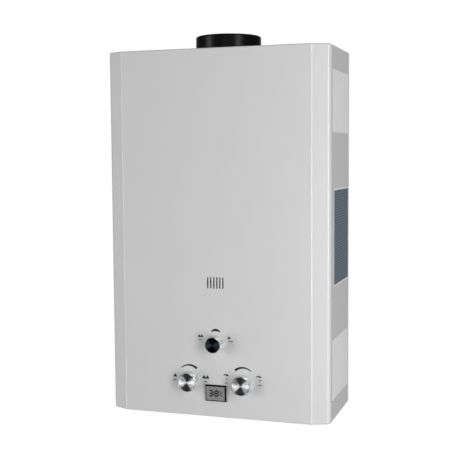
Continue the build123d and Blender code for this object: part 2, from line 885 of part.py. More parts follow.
# Water valve cover: hollow flange with a guide neck for the push rod
with BuildPart() as water_valve_cover:
    with BuildSketch(Plane.YZ.offset(cover_face)):
        with Locations(rod_place):
            RegularPolygon(diaphragm_radius, 8, rotation=half_side_turn)
    extrude(amount=cover_flange)
    with BuildSketch(Plane.YZ.offset(cover_face - cover_neck_length)):
        with Locations(rod_place):
            RegularPolygon(cover_neck_radius, 8, rotation=half_side_turn)
    extrude(amount=cover_neck_length)
    with BuildSketch(Plane.YZ.offset(diaphragm_face)):
        with Locations(rod_place):
            RegularPolygon(cover_cavity_radius, 8, rotation=half_side_turn)
    extrude(amount=-cover_cavity_depth, mode=Mode.SUBTRACT)
    with BuildSketch(Plane.YZ.offset(cover_face - cover_neck_length)):
        with Locations(rod_place):
            Circle(rod_radius + run_gap)
    extrude(amount=cover_neck_length + cover_flange, mode=Mode.SUBTRACT)
save(water_valve_cover, "water_valve_cover")

# Push rod: plate behind the diaphragm, a rod through the guide and a collar that works the microswitch
rod_tip = diaphragm_face - nest_gap

with BuildPart() as push_rod:
    with BuildSketch(Plane.YZ.offset(rod_tip)):
        with Locations(rod_place):
            RegularPolygon(rod_plate_radius, 8, rotation=half_side_turn)
    extrude(amount=-rod_plate_thickness)
    with BuildSketch(Plane.YZ.offset(rod_tip)):
        with Locations(rod_place):
            Circle(rod_radius)
    extrude(amount=-(rod_tip + gas_block_right + rod_entry))
    with BuildSketch(Plane.YZ.offset(rod_collar_place)):
        with Locations(rod_place):
            RegularPolygon(rod_collar_radius, 8, major_radius=False, rotation=half_side_turn)
    extrude(amount=-rod_collar_thickness)
save(push_rod, "push_rod")

# Microswitch: moulded body above the push rod, with two ears and a pin for its lever
lever_right = rod_collar_place - rod_collar_thickness - lever_gap
lever_middle = lever_right - lever_thickness / 2
lever_contact = knob_level + rod_collar_radius - lever_overlap / 2
pivot_level = lever_contact + lever_arm
switch_base = pivot_level + lever_hub_radius + switch_clearance
switch_top = switch_base + switch_height
ear_inside = lever_width / 2 + nest_gap

with BuildPart() as microswitch:
    with BuildSketch(Plane.XY.offset(switch_base)):
        with Locations((lever_middle, -valve_depth)):
            Rectangle(switch_length, switch_width)
    extrude(amount=switch_height)
    for ear_depth in (valve_depth + ear_inside, valve_depth - ear_inside - switch_ear):
        with BuildSketch(at_depth(ear_depth)):
            with Locations((lever_middle, (switch_base + pivot_level - lever_hub_radius) / 2)):
                Rectangle(2 * lever_hub_radius, switch_base - pivot_level + lever_hub_radius)
        extrude(amount=switch_ear)
    with BuildSketch(at_depth(valve_depth - ear_inside)):
        with Locations((lever_middle, pivot_level)):
            Circle(lever_pin_radius)
    extrude(amount=2 * ear_inside)
save(microswitch, "microswitch")

# Microswitch lever: hub on the pin with a blade down beside the push rod's collar
with BuildPart() as microswitch_lever:
    with BuildSketch(at_depth(valve_depth - lever_width / 2)):
        with Locations((lever_middle, (pivot_level + lever_contact - lever_overlap) / 2)):
            Rectangle(lever_thickness, pivot_level - lever_contact + lever_overlap)
        with Locations((lever_middle, pivot_level)):
            RegularPolygon(lever_hub_radius, 8)
            Circle(lever_pin_radius + run_gap, mode=Mode.SUBTRACT)
    extrude(amount=lever_width)
save(microswitch_lever, "microswitch_lever")

# Microswitch bracket: bent strap from the gas valve's top over the switch
strap_riser = lever_middle - switch_length / 2 - nest_gap

with BuildPart() as microswitch_bracket:
    with BuildSketch(at_depth(valve_depth - switch_width / 2)):
        with BuildLine():
            Polyline(
                (strap_riser - strap_foot, valve_top),
                (strap_riser, valve_top),
                (strap_riser, switch_top),
                (lever_middle + switch_length / 2, switch_top),
                (lever_middle + switch_length / 2, switch_top + strap_thickness),
                (strap_riser - strap_thickness, switch_top + strap_thickness),
                (strap_riser - strap_thickness, valve_top + strap_thickness),
                (strap_riser - strap_foot, valve_top + strap_thickness),
                close=True,
            )
        make_face()
    extrude(amount=switch_width)
save(microswitch_bracket, "microswitch_bracket")

# Knobs: turned in one piece with their spindles, with a bevelled face and a sunk pointer
knob_back = case_depth + knob_gap


def knob(side, level, radius, height, bore_end):
    """Knob on the cover's front with its spindle reaching into a valve's bore."""
    knob_front = knob_back + height
    spindle_end = bore_end + nest_gap
    pointer_place = pointer_place_share * radius
    turn = radians(pointer_angle)
    with BuildPart() as turned:
        with BuildSketch(Plane(origin=(side, 0, level), x_dir=(1, 0, 0), z_dir=(0, 0, -1))):
            with BuildLine():
                Polyline(
                    (0, spindle_end),
                    (spindle_radius, spindle_end),
                    (spindle_radius, knob_back),
                    (radius, knob_back),
                    (radius, knob_front - knob_edge),
                    (radius - knob_edge, knob_front),
                    (0, knob_front),
                    close=True,
                )
            make_face()
        revolve(axis=Axis((side, 0, level), (0, -1, 0)))
        with BuildSketch(at_depth(knob_front)):
            with Locations((side + pointer_place * cos(turn), level + pointer_place * sin(turn))):
                Rectangle(pointer_length, pointer_width, rotation=pointer_angle)
        extrude(amount=-pointer_sink, mode=Mode.SUBTRACT)
    return turned


bore_end = valve_front - bore_depth
season_bore_end = season_front - season_bore_depth
save(knob(-lower_knob_side, knob_level, knob_radius, knob_height, bore_end), "gas_knob")
save(knob(lower_knob_side, knob_level, knob_radius, knob_height, bore_end), "water_knob")
save(knob(0, season_level, season_knob_radius, season_knob_height, season_bore_end), "season_knob")

# Display: bezel on the cover's face, panel through the window and housing behind it
with BuildPart() as display_bezel:
    with BuildSketch(at_depth(case_depth)):
        with Locations((0, display_level)):
            Rectangle(display_width, display_height)
    extrude(amount=display_proud)
    chamfer(faces().sort_by(Axis.Y)[0].edges(), display_bevel)
    with BuildSketch(at_depth(case_depth)):
        with Locations((0, display_level)):
            Rectangle(window_width, window_height)
    extrude(amount=display_proud, mode=Mode.SUBTRACT)
save(display_bezel, "display_bezel")

with BuildPart() as lcd_panel:
    with BuildSketch(at_depth(inner_front)):
        with Locations((0, display_level)):
            Rectangle(window_width - 2 * run_gap, window_height - 2 * run_gap)
    extrude(amount=sheet + display_proud - lcd_recess)
save(lcd_panel, "lcd_panel")

with BuildPart() as display_housing:
    with BuildSketch(at_depth(inner_front)):
        with Locations((0, display_level)):
            Rectangle(display_width, display_height)
    extrude(amount=-display_housing_length)
    chamfer(faces().sort_by(Axis.Y)[-1].edges(), display_bevel)
save(display_housing, "display_housing")

# Ignition controller: bevelled box on the back plate with two fixing ears
controller_level = case_bottom + controller_rise
controller_thickness = valve_depth - elbow_size / 2 - sheet - controller_gap

with BuildPart() as ignition_controller:
    with BuildSketch(at_depth(sheet)):
        with Locations((controller_side, controller_level)):
            Rectangle(controller_width, controller_height)
    extrude(amount=controller_thickness)
    chamfer(faces().sort_by(Axis.Y)[0].edges(), controller_bevel)
    with BuildSketch(at_depth(sheet)):
        with Locations((controller_side, controller_level)):
            Rectangle(2 * controller_ear, controller_height + 2 * controller_ear)
    extrude(amount=2 * sheet)
save(ignition_controller, "ignition_controller")

# Battery box: compartment through the bottom panel, open below, with a flange and hinge ears
flange_base = panel_floor - sheet
lid_top = flange_base - lid_drop
lid_pivot_level = flange_base - lid_knuckle_radius - nest_gap
lid_pivot_depth = valve_depth - battery_depth / 2 - lid_hinge_gap
ear_place = lid_knuckle_length / 2 + nest_gap + lid_ear / 2
ear_radius = lid_pin_radius + sheet

with BuildPart() as battery_box:
    with BuildSketch(Plane.XY.offset(flange_base)):
        with Locations((box_side, -valve_depth)):
            Rectangle(battery_width + 2 * box_flange, battery_depth + 4 * box_flange)
    extrude(amount=sheet)
    with BuildSketch(Plane.XY.offset(panel_floor)):
        with Locations((box_side, -valve_depth)):
            Rectangle(battery_width, battery_depth)
    extrude(amount=battery_roof - panel_floor)
    with BuildSketch(Plane.XY.offset(flange_base)):
        with Locations((box_side, -valve_depth)):
            Rectangle(battery_width - 2 * box_wall, battery_depth - 2 * box_wall)
    extrude(amount=battery_roof - box_wall - flange_base, mode=Mode.SUBTRACT)
    for ear_side in (box_side - ear_place, box_side + ear_place):
        with BuildSketch(Plane.YZ.offset(ear_side - lid_ear / 2)):
            with Locations((-lid_pivot_depth, (lid_pivot_level - ear_radius + flange_base) / 2)):
                Rectangle(2 * ear_radius, flange_base - lid_pivot_level + ear_radius)
            with Locations((-lid_pivot_depth, lid_pivot_level)):
                Circle(lid_pin_radius + run_gap, mode=Mode.SUBTRACT)
        extrude(amount=lid_ear)
save(battery_box, "battery_box")

# Battery lid: flap with a finger notch, a hinge knuckle and a pin through the ears
lid_front = valve_depth + battery_depth / 2 + box_flange - lid_margin
lid_shoulder = valve_depth - battery_depth / 2
lid_width = battery_width + 2 * box_flange - 2 * lid_margin

with BuildPart() as battery_lid:
    with BuildSketch(Plane.XY.offset(lid_top - lid_thickness)):
        with Locations((box_side, -(lid_front + lid_pivot_depth) / 2)):
            Rectangle(lid_knuckle_length, lid_front - lid_pivot_depth)
        with Locations((box_side, -(lid_front + lid_shoulder) / 2)):
            Rectangle(lid_width, lid_front - lid_shoulder)
        with Locations((box_side, lid_notch_depth / 2 - lid_front)):
            Rectangle(lid_notch_width, lid_notch_depth, mode=Mode.SUBTRACT)
    extrude(amount=lid_thickness)
    with BuildSketch(Plane.YZ.offset(box_side - lid_knuckle_length / 2)):
        with Locations((-lid_pivot_depth, lid_pivot_level)):
            RegularPolygon(lid_knuckle_radius, 8)
    extrude(amount=lid_knuckle_length)
    with BuildSketch(Plane.YZ.offset(box_side - ear_place - lid_ear / 2)):
        with Locations((-lid_pivot_depth, lid_pivot_level)):
            Circle(lid_pin_radius)
    extrude(amount=2 * ear_place + lid_ear)
save(battery_lid, "battery_lid")
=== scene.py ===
"""Looks of a wall-hung tankless gas water heater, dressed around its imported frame."""

import json
import logging
import math
from dataclasses import dataclass
from enum import Enum
from typing import ClassVar

import bmesh
import bpy
from bmesh.types import BMEdge, BMesh, BMVert
from bpy.types import Material, Node, NodeSocket, NodeTree, Object
from mathutils import Matrix, Vector


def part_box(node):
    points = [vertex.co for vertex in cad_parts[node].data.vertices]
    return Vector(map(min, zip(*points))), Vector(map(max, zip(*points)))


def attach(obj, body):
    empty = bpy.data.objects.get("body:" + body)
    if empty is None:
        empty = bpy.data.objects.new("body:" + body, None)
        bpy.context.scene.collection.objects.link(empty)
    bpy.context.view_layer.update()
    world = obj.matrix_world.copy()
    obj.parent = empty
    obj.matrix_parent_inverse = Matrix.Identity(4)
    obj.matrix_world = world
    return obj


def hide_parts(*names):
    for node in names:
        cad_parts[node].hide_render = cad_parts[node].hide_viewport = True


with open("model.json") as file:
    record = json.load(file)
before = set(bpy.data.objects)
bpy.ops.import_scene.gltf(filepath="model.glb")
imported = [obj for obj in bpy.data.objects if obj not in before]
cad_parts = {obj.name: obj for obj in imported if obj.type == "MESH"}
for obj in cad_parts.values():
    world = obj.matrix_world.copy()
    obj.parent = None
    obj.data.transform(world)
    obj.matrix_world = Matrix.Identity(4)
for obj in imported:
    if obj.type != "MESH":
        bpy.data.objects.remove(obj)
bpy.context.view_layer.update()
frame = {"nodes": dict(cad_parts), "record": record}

Pair = tuple[float, float]
Point = tuple[float, float, float]

LOG = logging.getLogger("heater")
MM = 0.001
ROOT = "heater"

# Front and right-hand side of the cover
FACE = -160.0 * MM
SIDE = 190.0 * MM

# Thickness of print and film
PRINT = 0.06 * MM

# Corners closer than this are one, and faces that turn by less than this are one flat
SEAM = 0.002 * MM
FLAT = math.radians(0.5)

# Scale at which the wave texture repeats once a metre
BANDS = math.pi / 10

# Turns a flat shape to the front
UPRIGHT = Matrix.Rotation(math.pi / 2, 4, "X")


def linear(colour: str) -> tuple[float, float, float, float]:
    """Turns an sRGB hex colour into linear light.

    Args:
        colour: Six hex digits with a leading hash sign.

    Returns:
        Linear red, green, blue and an alpha of one.
    """
    parts = [int(colour[place:place + 2], 16) / 255 for place in (1, 3, 5)]
    light = [part / 12.92 if part <= 0.04045 else ((part + 0.055) / 1.055) ** 2.4
             for part in parts]
    return (light[0], light[1], light[2], 1.0)


def add_node(tree: NodeTree, kind: str, values: dict | None = None,
             links: dict | None = None, **settings: str) -> Node:
    """Adds a node with its settings, its fixed values and its links.

    Args:
        tree: Node tree that the node goes into.
        kind: Type name of the node.
        values: Fixed values by socket.
        links: Output sockets by the input socket that they feed.
        **settings: Properties of the node itself.

    Returns:
        The new node.
    """
    node = tree.nodes.new(kind)
    for name, value in settings.items():
        setattr(node, name, value)
    for socket, value in (values or {}).items():
        node.inputs[socket].default_value = value
    for socket, source in (links or {}).items():
        tree.links.new(source, node.inputs[socket])
    return node


# Finishes

@dataclass(frozen=True)
class Work:
    """A material under work: its node tree, its shader and object coordinates in metres."""

    tree: NodeTree
    shader: Node
    place: NodeSocket


@dataclass(frozen=True)
class Marks:
    """Where a pattern shows: in the second colour, in the relief and in the gloss."""

    shade: NodeSocket | None = None
    height: NodeSocket | None = None
    gloss: NodeSocket | None = None


@dataclass(frozen=True)
class Finish:
    """A surface: what it is made of and the values that give it its look.

    Attributes:
        name: Common name of the material.
        colour: Main colour.
        roughness: Roughness, in the middle where it changes.
        metallic: One for bare metal.
        second: Colour that the pattern shades to.
        depth: Depth of the relief in metres.
        specular: Strength of the gloss on what isn't metal.
        gloss_steps: How far the roughness falls and rises.
    """

    name: str
    colour: str
    roughness: float
    metallic: float = 0.0
    second: str = "#000000"
    depth: float = 0.0
    specular: float = 0.5
    gloss_steps: Pair = (0.0, 0.0)
    made: ClassVar[dict[str, Material]] = {}

    def material(self) -> Material:
        """Makes the material on first use and hands out the same one after that.

        Returns:
            The material of this finish.
        """
        if self.name not in self.made:
            material = bpy.data.materials.new(self.name)
            material.use_nodes = True
            self.dress(material.node_tree)
            self.made[self.name] = material
        return self.made[self.name]

    def dress(self, tree: NodeTree) -> None:
        """Sets the shader and links the pattern to it.

        Args:
            tree: Node tree of the material.
        """
        shader = tree.nodes["Principled BSDF"]
        for socket, value in (("Base Color", linear(self.colour)), ("Roughness", self.roughness),
                              ("Metallic", self.metallic), ("Specular IOR Level", self.specular)):
            shader.inputs[socket].default_value = value
        place = add_node(tree, "ShaderNodeTexCoord").outputs["Object"]
        marks = self.pattern(Work(tree, shader, place))
        if marks.shade is not None:
            mix = add_node(tree, "ShaderNodeMix", data_type="RGBA", links={0: marks.shade},
                           values={6: linear(self.colour), 7: linear(self.second)})
            tree.links.new(mix.outputs[2], shader.inputs["Base Color"])
        if marks.height is not None:
            bump = add_node(tree, "ShaderNodeBump", links={"Height": marks.height},
                            values={"Strength": 1.0, "Distance": self.depth})
            tree.links.new(bump.outputs["Normal"], shader.inputs["Normal"])
        if marks.gloss is not None:
            fall, rise = self.gloss_steps
            gloss = add_node(tree, "ShaderNodeMapRange", links={"Value": marks.gloss},
                             values={"To Min": self.roughness + fall,
                                     "To Max": self.roughness + rise})
            tree.links.new(gloss.outputs["Result"], shader.inputs["Roughness"])

    def pattern(self, work: Work) -> Marks:
        """Adds the nodes of the surface's own pattern.

        Args:
            work: The material under work.

        Returns:
            Where the pattern shows.
        """
        raise NotImplementedError


@dataclass(frozen=True)
class StovedPaint(Finish):
    """Stoved satin paint on steel sheet: an even grey with a faint orange peel in its gloss."""

    second: str = "#CFCFCF"
    depth: float = 0.006 * MM
    specular: float = 0.8
    peel_size: float = 1.6 * MM
    cloud_size: float = 90 * MM

    def pattern(self, work: Work) -> Marks:
        """Adds the peel and a slow drift of the grey.

        Args:
            work: The material under work.

        Returns:
            The drift as shade and the peel as height.
        """
        peel = add_node(work.tree, "ShaderNodeTexNoise", links={"Vector": work.place},
                        values={"Scale": 1 / self.peel_size, "Detail": 2.0})
        cloud = add_node(work.tree, "ShaderNodeTexNoise", links={"Vector": work.place},
                         values={"Scale": 1 / self.cloud_size, "Detail": 3.0})
        return Marks(shade=cloud.outputs["Fac"], height=peel.outputs["Fac"])


@dataclass(frozen=True)
class ZincSheet(Finish):
    """Hot-dipped steel sheet: crystals a centimetre across, each with its own grey and gloss."""

    second: str = "#9DA2A6"
    gloss_steps: Pair = (-0.08, 0.12)
    crystal_size: float = 9 * MM
    ragged: float = 0.003

    def pattern(self, work: Work) -> Marks:
        """Adds the crystals with their ragged edges.

        Args:
            work: The material under work.

        Returns:
            A shade and a gloss for each crystal.
        """
        warp = add_node(work.tree, "ShaderNodeTexNoise", links={"Vector": work.place},
                        values={"Scale": 1 / self.crystal_size, "Detail": 2.0})
        drift = add_node(work.tree, "ShaderNodeMix", data_type="VECTOR", values={0: self.ragged},
                         links={4: work.place, 5: warp.outputs["Color"]})
        cells = add_node(work.tree, "ShaderNodeTexVoronoi", links={"Vector": drift.outputs[1]},
                         values={"Scale": 1 / self.crystal_size})
        split = add_node(work.tree, "ShaderNodeSeparateColor",
                         links={"Color": cells.outputs["Color"]})
        return Marks(shade=split.outputs["Red"], gloss=split.outputs["Green"])


@dataclass(frozen=True)
class Enamel(Finish):
    """Black enamel fired on a turned ring: satin, with faint lines left by the lathe."""

    second: str = "#121213"
    depth: float = 0.03 * MM
    specular: float = 0.12
    gloss_steps: Pair = (-0.06, 0.06)
    # Real lathe lines are some tenths of a millimetre apart: they are drawn coarser, to show.
    line_pitch: float = 2.6 * MM
    grit: float = 0.8 * MM

    def pattern(self, work: Work) -> Marks:
        """Adds the turning lines and a fine grit.

        Args:
            work: The material under work.

        Returns:
            The lines as shade and height, and the grit as gloss.
        """
        lines = add_node(work.tree, "ShaderNodeTexWave", wave_type="BANDS", bands_direction="Z",
                         links={"Vector": work.place},
                         values={"Scale": BANDS / self.line_pitch, "Distortion": 0.0})
        grit = add_node(work.tree, "ShaderNodeTexNoise", links={"Vector": work.place},
                        values={"Scale": 1 / self.grit, "Detail": 2.0})
        line = lines.outputs["Fac"]
        return Marks(shade=line, height=line, gloss=grit.outputs["Fac"])


@dataclass(frozen=True)
class TarnishedMetal(Finish):
    """Drawn or cast metal as it left the works: patches of tarnish and a grain in the skin."""

    second: str = "#7A5236"
    depth: float = 0.02 * MM
    gloss_steps: Pair = (-0.1, 0.2)
    patch_size: float = 22 * MM
    patch_band: Pair = (0.4, 0.75)
    patch_share: float = 0.7
    # The grain of a casting is finer than this: it is drawn coarser, to show.
    grain_size: float = 0.9 * MM

    def pattern(self, work: Work) -> Marks:
        """Adds the tarnish and the grain.

        Args:
            work: The material under work.

        Returns:
            The tarnish as shade and gloss, and the grain as height.
        """
        patch = add_node(work.tree, "ShaderNodeTexNoise", links={"Vector": work.place},
                         values={"Scale": 1 / self.patch_size, "Detail": 5.0, "Roughness": 0.6})
        least, most = self.patch_band
        spread = add_node(work.tree, "ShaderNodeMapRange", links={"Value": patch.outputs["Fac"]},
                          values={"From Min": least, "From Max": most, "To Max": self.patch_share})
        grain = add_node(work.tree, "ShaderNodeTexNoise", links={"Vector": work.place},
                         values={"Scale": 1 / self.grain_size, "Detail": 3.0})
        return Marks(shade=spread.outputs["Result"], height=grain.outputs["Fac"],
                     gloss=patch.outputs["Fac"])


@dataclass(frozen=True)
class MouldedPlastic(Finish):
    """Injection-moulded plastic: an even colour with the fine spark-eroded grain of the mould."""

    second: str = "#2A2A2C"
    depth: float = 0.012 * MM
    # Spark-eroded grain is about a tenth of a millimetre: it is drawn coarser, to show.
    grain_size: float = 0.5 * MM
    rubs_per_metre: float = 70.0
    rub_band: Pair = (0.45, 0.8)
    rub_share: float = 0.5

    def pattern(self, work: Work) -> Marks:
        """Adds the mould's grain and slightly rubbed patches.

        Args:
            work: The material under work.

        Returns:
            The patches as shade and the grain as height.
        """
        grain = add_node(work.tree, "ShaderNodeTexNoise", links={"Vector": work.place},
                         values={"Scale": 1 / self.grain_size, "Detail": 2.0})
        rub = add_node(work.tree, "ShaderNodeTexNoise", links={"Vector": work.place},
                       values={"Scale": self.rubs_per_metre, "Detail": 3.0})
        least, most = self.rub_band
        spread = add_node(work.tree, "ShaderNodeMapRange", links={"Value": rub.outputs["Fac"]},
                          values={"From Min": least, "From Max": most, "To Max": self.rub_share})
        return Marks(shade=spread.outputs["Result"], height=grain.outputs["Fac"])


@dataclass(frozen=True)
class PlatedPlastic(Finish):
    """Chrome plating on a moulding: a bright mirror with a trace of haze."""

    gloss_steps: Pair = (0.0, 0.08)
    haze_size: float = 6 * MM

    def pattern(self, work: Work) -> Marks:
        """Adds the haze.

        Args:
            work: The material under work.

        Returns:
            The haze as gloss.
        """
        haze = add_node(work.tree, "ShaderNodeTexNoise", links={"Vector": work.place},
                        values={"Scale": 1 / self.haze_size, "Detail": 3.0})
        return Marks(gloss=haze.outputs["Fac"])


@dataclass(frozen=True)
class SpunDisc(Finish):
    """Spun metal disc: fine grooves round its centre fan every reflection out into a bow tie.

    The groove's flanks, less than a tenth of a millimetre wide as on a real disc, lean the
    surface to and from the centre, and the rings of tone lie between the centre and the rim.
    """

    second: str = "#AEB0B3"
    flank_count: float = 400.0
    flank_slope: float = 0.38
    ring_count: float = 26.0
    ring_detail: float = 3.0
    anisotropy: float = 1.0
    quarter_turn: float = 0.25

    def pattern(self, work: Work) -> Marks:
        """Adds the rings' tone and the grooves' slopes, which follow the disc's own map.

        Args:
            work: The material under work.

        Returns:
            The rings as shade.
        """
        tree = work.tree
        chart = add_node(tree, "ShaderNodeUVMap", uv_map="spin").outputs["UV"]
        reach = add_node(tree, "ShaderNodeSeparateXYZ", links={"Vector": chart}).outputs["Y"]
        count = add_node(tree, "ShaderNodeMath", operation="MULTIPLY",
                         values={1: self.ring_count}, links={0: reach})
        ring = add_node(tree, "ShaderNodeTexNoise", noise_dimensions="1D",
                        links={"W": count.outputs["Value"]},
                        values={"Scale": self.ring_detail, "Detail": 4.0})
        flanks = add_node(tree, "ShaderNodeMath", operation="MULTIPLY",
                          values={1: self.flank_count}, links={0: reach})
        flank = add_node(tree, "ShaderNodeMath", operation="PINGPONG", values={1: 1.0},
                         links={0: flanks.outputs["Value"]})
        slope = add_node(tree, "ShaderNodeMapRange", links={"Value": flank.outputs["Value"]},
                         values={"To Min": -self.flank_slope, "To Max": self.flank_slope})
        normal = add_node(tree, "ShaderNodeNewGeometry").outputs["Normal"]
        around = add_node(tree, "ShaderNodeTangent", direction_type="UV_MAP",
                          uv_map="spin").outputs["Tangent"]
        outward = add_node(tree, "ShaderNodeVectorMath", operation="CROSS_PRODUCT",
                           links={0: normal, 1: around})
        lean = add_node(tree, "ShaderNodeVectorMath", operation="SCALE",
                        links={0: outward.outputs["Vector"], "Scale": slope.outputs["Result"]})
        tilted = add_node(tree, "ShaderNodeVectorMath", operation="ADD",
                          links={0: normal, 1: lean.outputs["Vector"]})
        unit = add_node(tree, "ShaderNodeVectorMath", operation="NORMALIZE",
                        links={0: tilted.outputs["Vector"]})
        tree.links.new(unit.outputs["Vector"], work.shader.inputs["Normal"])
        tree.links.new(around, work.shader.inputs["Tangent"])
        work.shader.inputs["Anisotropic"].default_value = self.anisotropy
        work.shader.inputs["Anisotropic Rotation"].default_value = self.quarter_turn
        return Marks(shade=ring.outputs["Fac"])


@dataclass(frozen=True)
class DisplayFilm(Finish):
    """Reflective display panel: grey film under a glossy front, a little uneven."""

    second: str = "#7E7E7D"
    mottle: float = 9 * MM
    coat: float = 0.6
    coat_roughness: float = 0.08

    def pattern(self, work: Work) -> Marks:
        """Adds the film's unevenness and the glossy front.

        Args:
            work: The material under work.

        Returns:
            The unevenness as shade.
        """
        cloud = add_node(work.tree, "ShaderNodeTexNoise", links={"Vector": work.place},
                         values={"Scale": 1 / self.mottle, "Detail": 2.0})
        work.shader.inputs["Coat Weight"].default_value = self.coat
        work.shader.inputs["Coat Roughness"].default_value = self.coat_roughness
        return Marks(shade=cloud.outputs["Fac"])


@dataclass(frozen=True)
class ScreenInk(Finish):
    """Screen-printed ink: matt, slightly thin where the mesh left pinholes."""

    second: str = "#1C1C1E"
    # A printing mesh is about a tenth of a millimetre: it is drawn coarser, to show.
    mesh_size: float = 0.35 * MM
    hole_band: Pair = (0.55, 0.8)

    def pattern(self, work: Work) -> Marks:
        """Adds the thin spots.

        Args:
            work: The material under work.

        Returns:
            The spots as shade.
        """
        spots = add_node(work.tree, "ShaderNodeTexNoise", links={"Vector": work.place},
                         values={"Scale": 1 / self.mesh_size, "Detail": 1.0})
        least, most = self.hole_band
        spread = add_node(work.tree, "ShaderNodeMapRange", links={"Value": spots.outputs["Fac"]},
                          values={"From Min": least, "From Max": most})
        return Marks(shade=spread.outputs["Result"])


@dataclass(frozen=True)
class RuledFilm(Finish):
    """Slate-coloured vinyl film: matt, with darker ruled rows that break up its face."""

    second: str = "#4B5560"
    row_pitch: float = 4.2 * MM
    row_band: Pair = (0.62, 0.8)

    def pattern(self, work: Work) -> Marks:
        """Adds the rows.

        Args:
            work: The material under work.

        Returns:
            The rows as shade.
        """
        rows = add_node(work.tree, "ShaderNodeTexWave", wave_type="BANDS", bands_direction="Z",
                        wave_profile="SIN", links={"Vector": work.place},
                        values={"Scale": BANDS / self.row_pitch})
        least, most = self.row_band
        sharp = add_node(work.tree, "ShaderNodeMapRange", links={"Value": rows.outputs["Fac"]},
                         values={"From Min": least, "From Max": most})
        return Marks(shade=sharp.outputs["Result"])


@dataclass(frozen=True)
class StageCloth(Finish):
    """Plain pale studio floor: matt, with a barely seen weave."""

    second: str = "#EDEDEC"
    # A studio cloth's threads are finer than this: they are drawn coarser, to show.
    thread: float = 4 * MM

    def pattern(self, work: Work) -> Marks:
        """Adds the weave.

        Args:
            work: The material under work.

        Returns:
            The weave as shade.
        """
        weave = add_node(work.tree, "ShaderNodeTexNoise", links={"Vector": work.place},
                         values={"Scale": 1 / self.thread})
        return Marks(shade=weave.outputs["Fac"])


class Skin(Enum):
    """The finishes of this heater."""

    # Light grey satin that draws a soft bright line along each fold
    PAINT = StovedPaint("satin stoved paint", "#D3D3D3", 0.23)
    # Pale spangled grey, half dull
    ZINC = ZincSheet("hot-dipped zinc sheet", "#B9BDC0", 0.38, 0.85)
    # Black with a low sheen
    ENAMEL = Enamel("black fired enamel", "#0C0C0D", 0.3)
    # Warm red-brown, darker in patches
    COPPER = TarnishedMetal("drawn copper", "#C77B50", 0.3, 1.0)
    # Yellow, browner in patches
    BRASS = TarnishedMetal("cast brass", "#C9A659", 0.32, 1.0, second="#8A6C35",
                           grain_size=0.6 * MM)
    # Warm grey that the fire has dulled
    STAINLESS = TarnishedMetal("heat-dulled stainless sheet", "#7C7873", 0.4, 1.0,
                               second="#57524C")
    # Pale grey with the rough skin of a casting
    ALUMINIUM = TarnishedMetal("die-cast aluminium", "#BDBFC2", 0.42, 1.0, second="#9A9C9F",
                               depth=0.04 * MM)
    # Ivory with a clear gloss
    CERAMIC = MouldedPlastic("glazed ceramic", "#EDEBE2", 0.2, second="#DCD8CB")
    # Near black, half glossy
    BLACK_PLASTIC = MouldedPlastic("black moulded plastic", "#151516", 0.3)
    # Near black that mirrors the lights sharply
    GLOSS_PLASTIC = MouldedPlastic("polished black plastic", "#0E0E0F", 0.12, second="#141415",
                                   depth=0.001 * MM)
    # Warm off-white without much shine
    WHITE_PLASTIC = MouldedPlastic("off-white moulded plastic", "#E6E5DF", 0.45, second="#D8D6CD")
    # Deep grey and dull
    RUBBER = MouldedPlastic("black rubber", "#1B1B1B", 0.7, second="#242424")
    # A thin bright rim round each knob
    CHROME = PlatedPlastic("chrome-plated plastic", "#D9DBDE", 0.14, 1.0)
    # A pale bow tie of light across the knob
    SPUN = SpunDisc("spun bright disc", "#BEC0C2", 0.28, 1.0)
    # The same bow tie, dim and bluish
    SPUN_DARK = SpunDisc("spun smoked disc", "#272E37", 0.29, 1.0, second="#181D24")
    # Middle grey under a clear reflection
    DISPLAY = DisplayFilm("reflective display film", "#8B8B8A", 0.35)
    # Black bars, sharp against the film
    SEGMENT = ScreenInk("display segment ink", "#0D0E0F", 0.5, second="#16181A")
    # Flat black
    INK = ScreenInk("black screen ink", "#101011", 0.55)
    # Flat dark grey
    PALE_INK = ScreenInk("grey screen ink", "#3A3B3D", 0.55, second="#4A4B4D")
    # Dull blue-grey
    STICKER = RuledFilm("slate vinyl film", "#687380", 0.75)
    # Pale and even
    FLOOR = StageCloth("pale studio floor", "#E4E4E3", 0.9)

    def material(self) -> Material:
        """The Blender material of this finish."""
        return self.value.material()


# Mesh helpers

def chain(shape: BMesh, points: list[Point]) -> list[BMVert | BMEdge]:
    """Draws a run of edges through points.

    Args:
        shape: Mesh that the run goes into.
        points: Corners of the run.

    Returns:
        The run's vertices and then its edges.
    """
    corners = [shape.verts.new(point) for point in points]
    return corners + [shape.edges.new(pair) for pair in zip(corners, corners[1:])]


def arc(middle: Pair, radius: float, start: float, end: float, steps: int) -> list[Pair]:
    """Points of a rounded corner in a turned profile.

    Args:
        middle: Centre of the corner as radius and height.
        radius: Radius of the corner.
        start: First angle in degrees.
        end: Last angle in degrees.
        steps: Number of steps along the corner.

    Returns:
        Radius and height of each point.
    """
    angles = [math.radians(start + (end - start) * step / steps) for step in range(steps + 1)]
    return [(middle[0] + radius * math.cos(angle), middle[1] + radius * math.sin(angle))
            for angle in angles]


def turned(profile: list[Pair], axis: Point, steps: int) -> BMesh:
    """Turns a profile round an axis through the origin.

    Args:
        profile: Radius and place along the axis of each point.
        axis: The Y or the Z direction.
        steps: Number of steps round the axis.

    Returns:
        The turned mesh with its normals outwards.
    """
    shape = bmesh.new()
    upright = axis[2] != 0
    points = [(radius, 0.0, place) if upright else (radius, place, 0.0)
              for radius, place in profile]
    run = chain(shape, points)
    bmesh.ops.spin(shape, geom=run, cent=(0, 0, 0), axis=axis, angle=math.tau, steps=steps,
                   use_merge=True)
    bmesh.ops.remove_doubles(shape, verts=shape.verts, dist=SEAM)
    bmesh.ops.recalc_face_normals(shape, faces=shape.faces)
    return shape


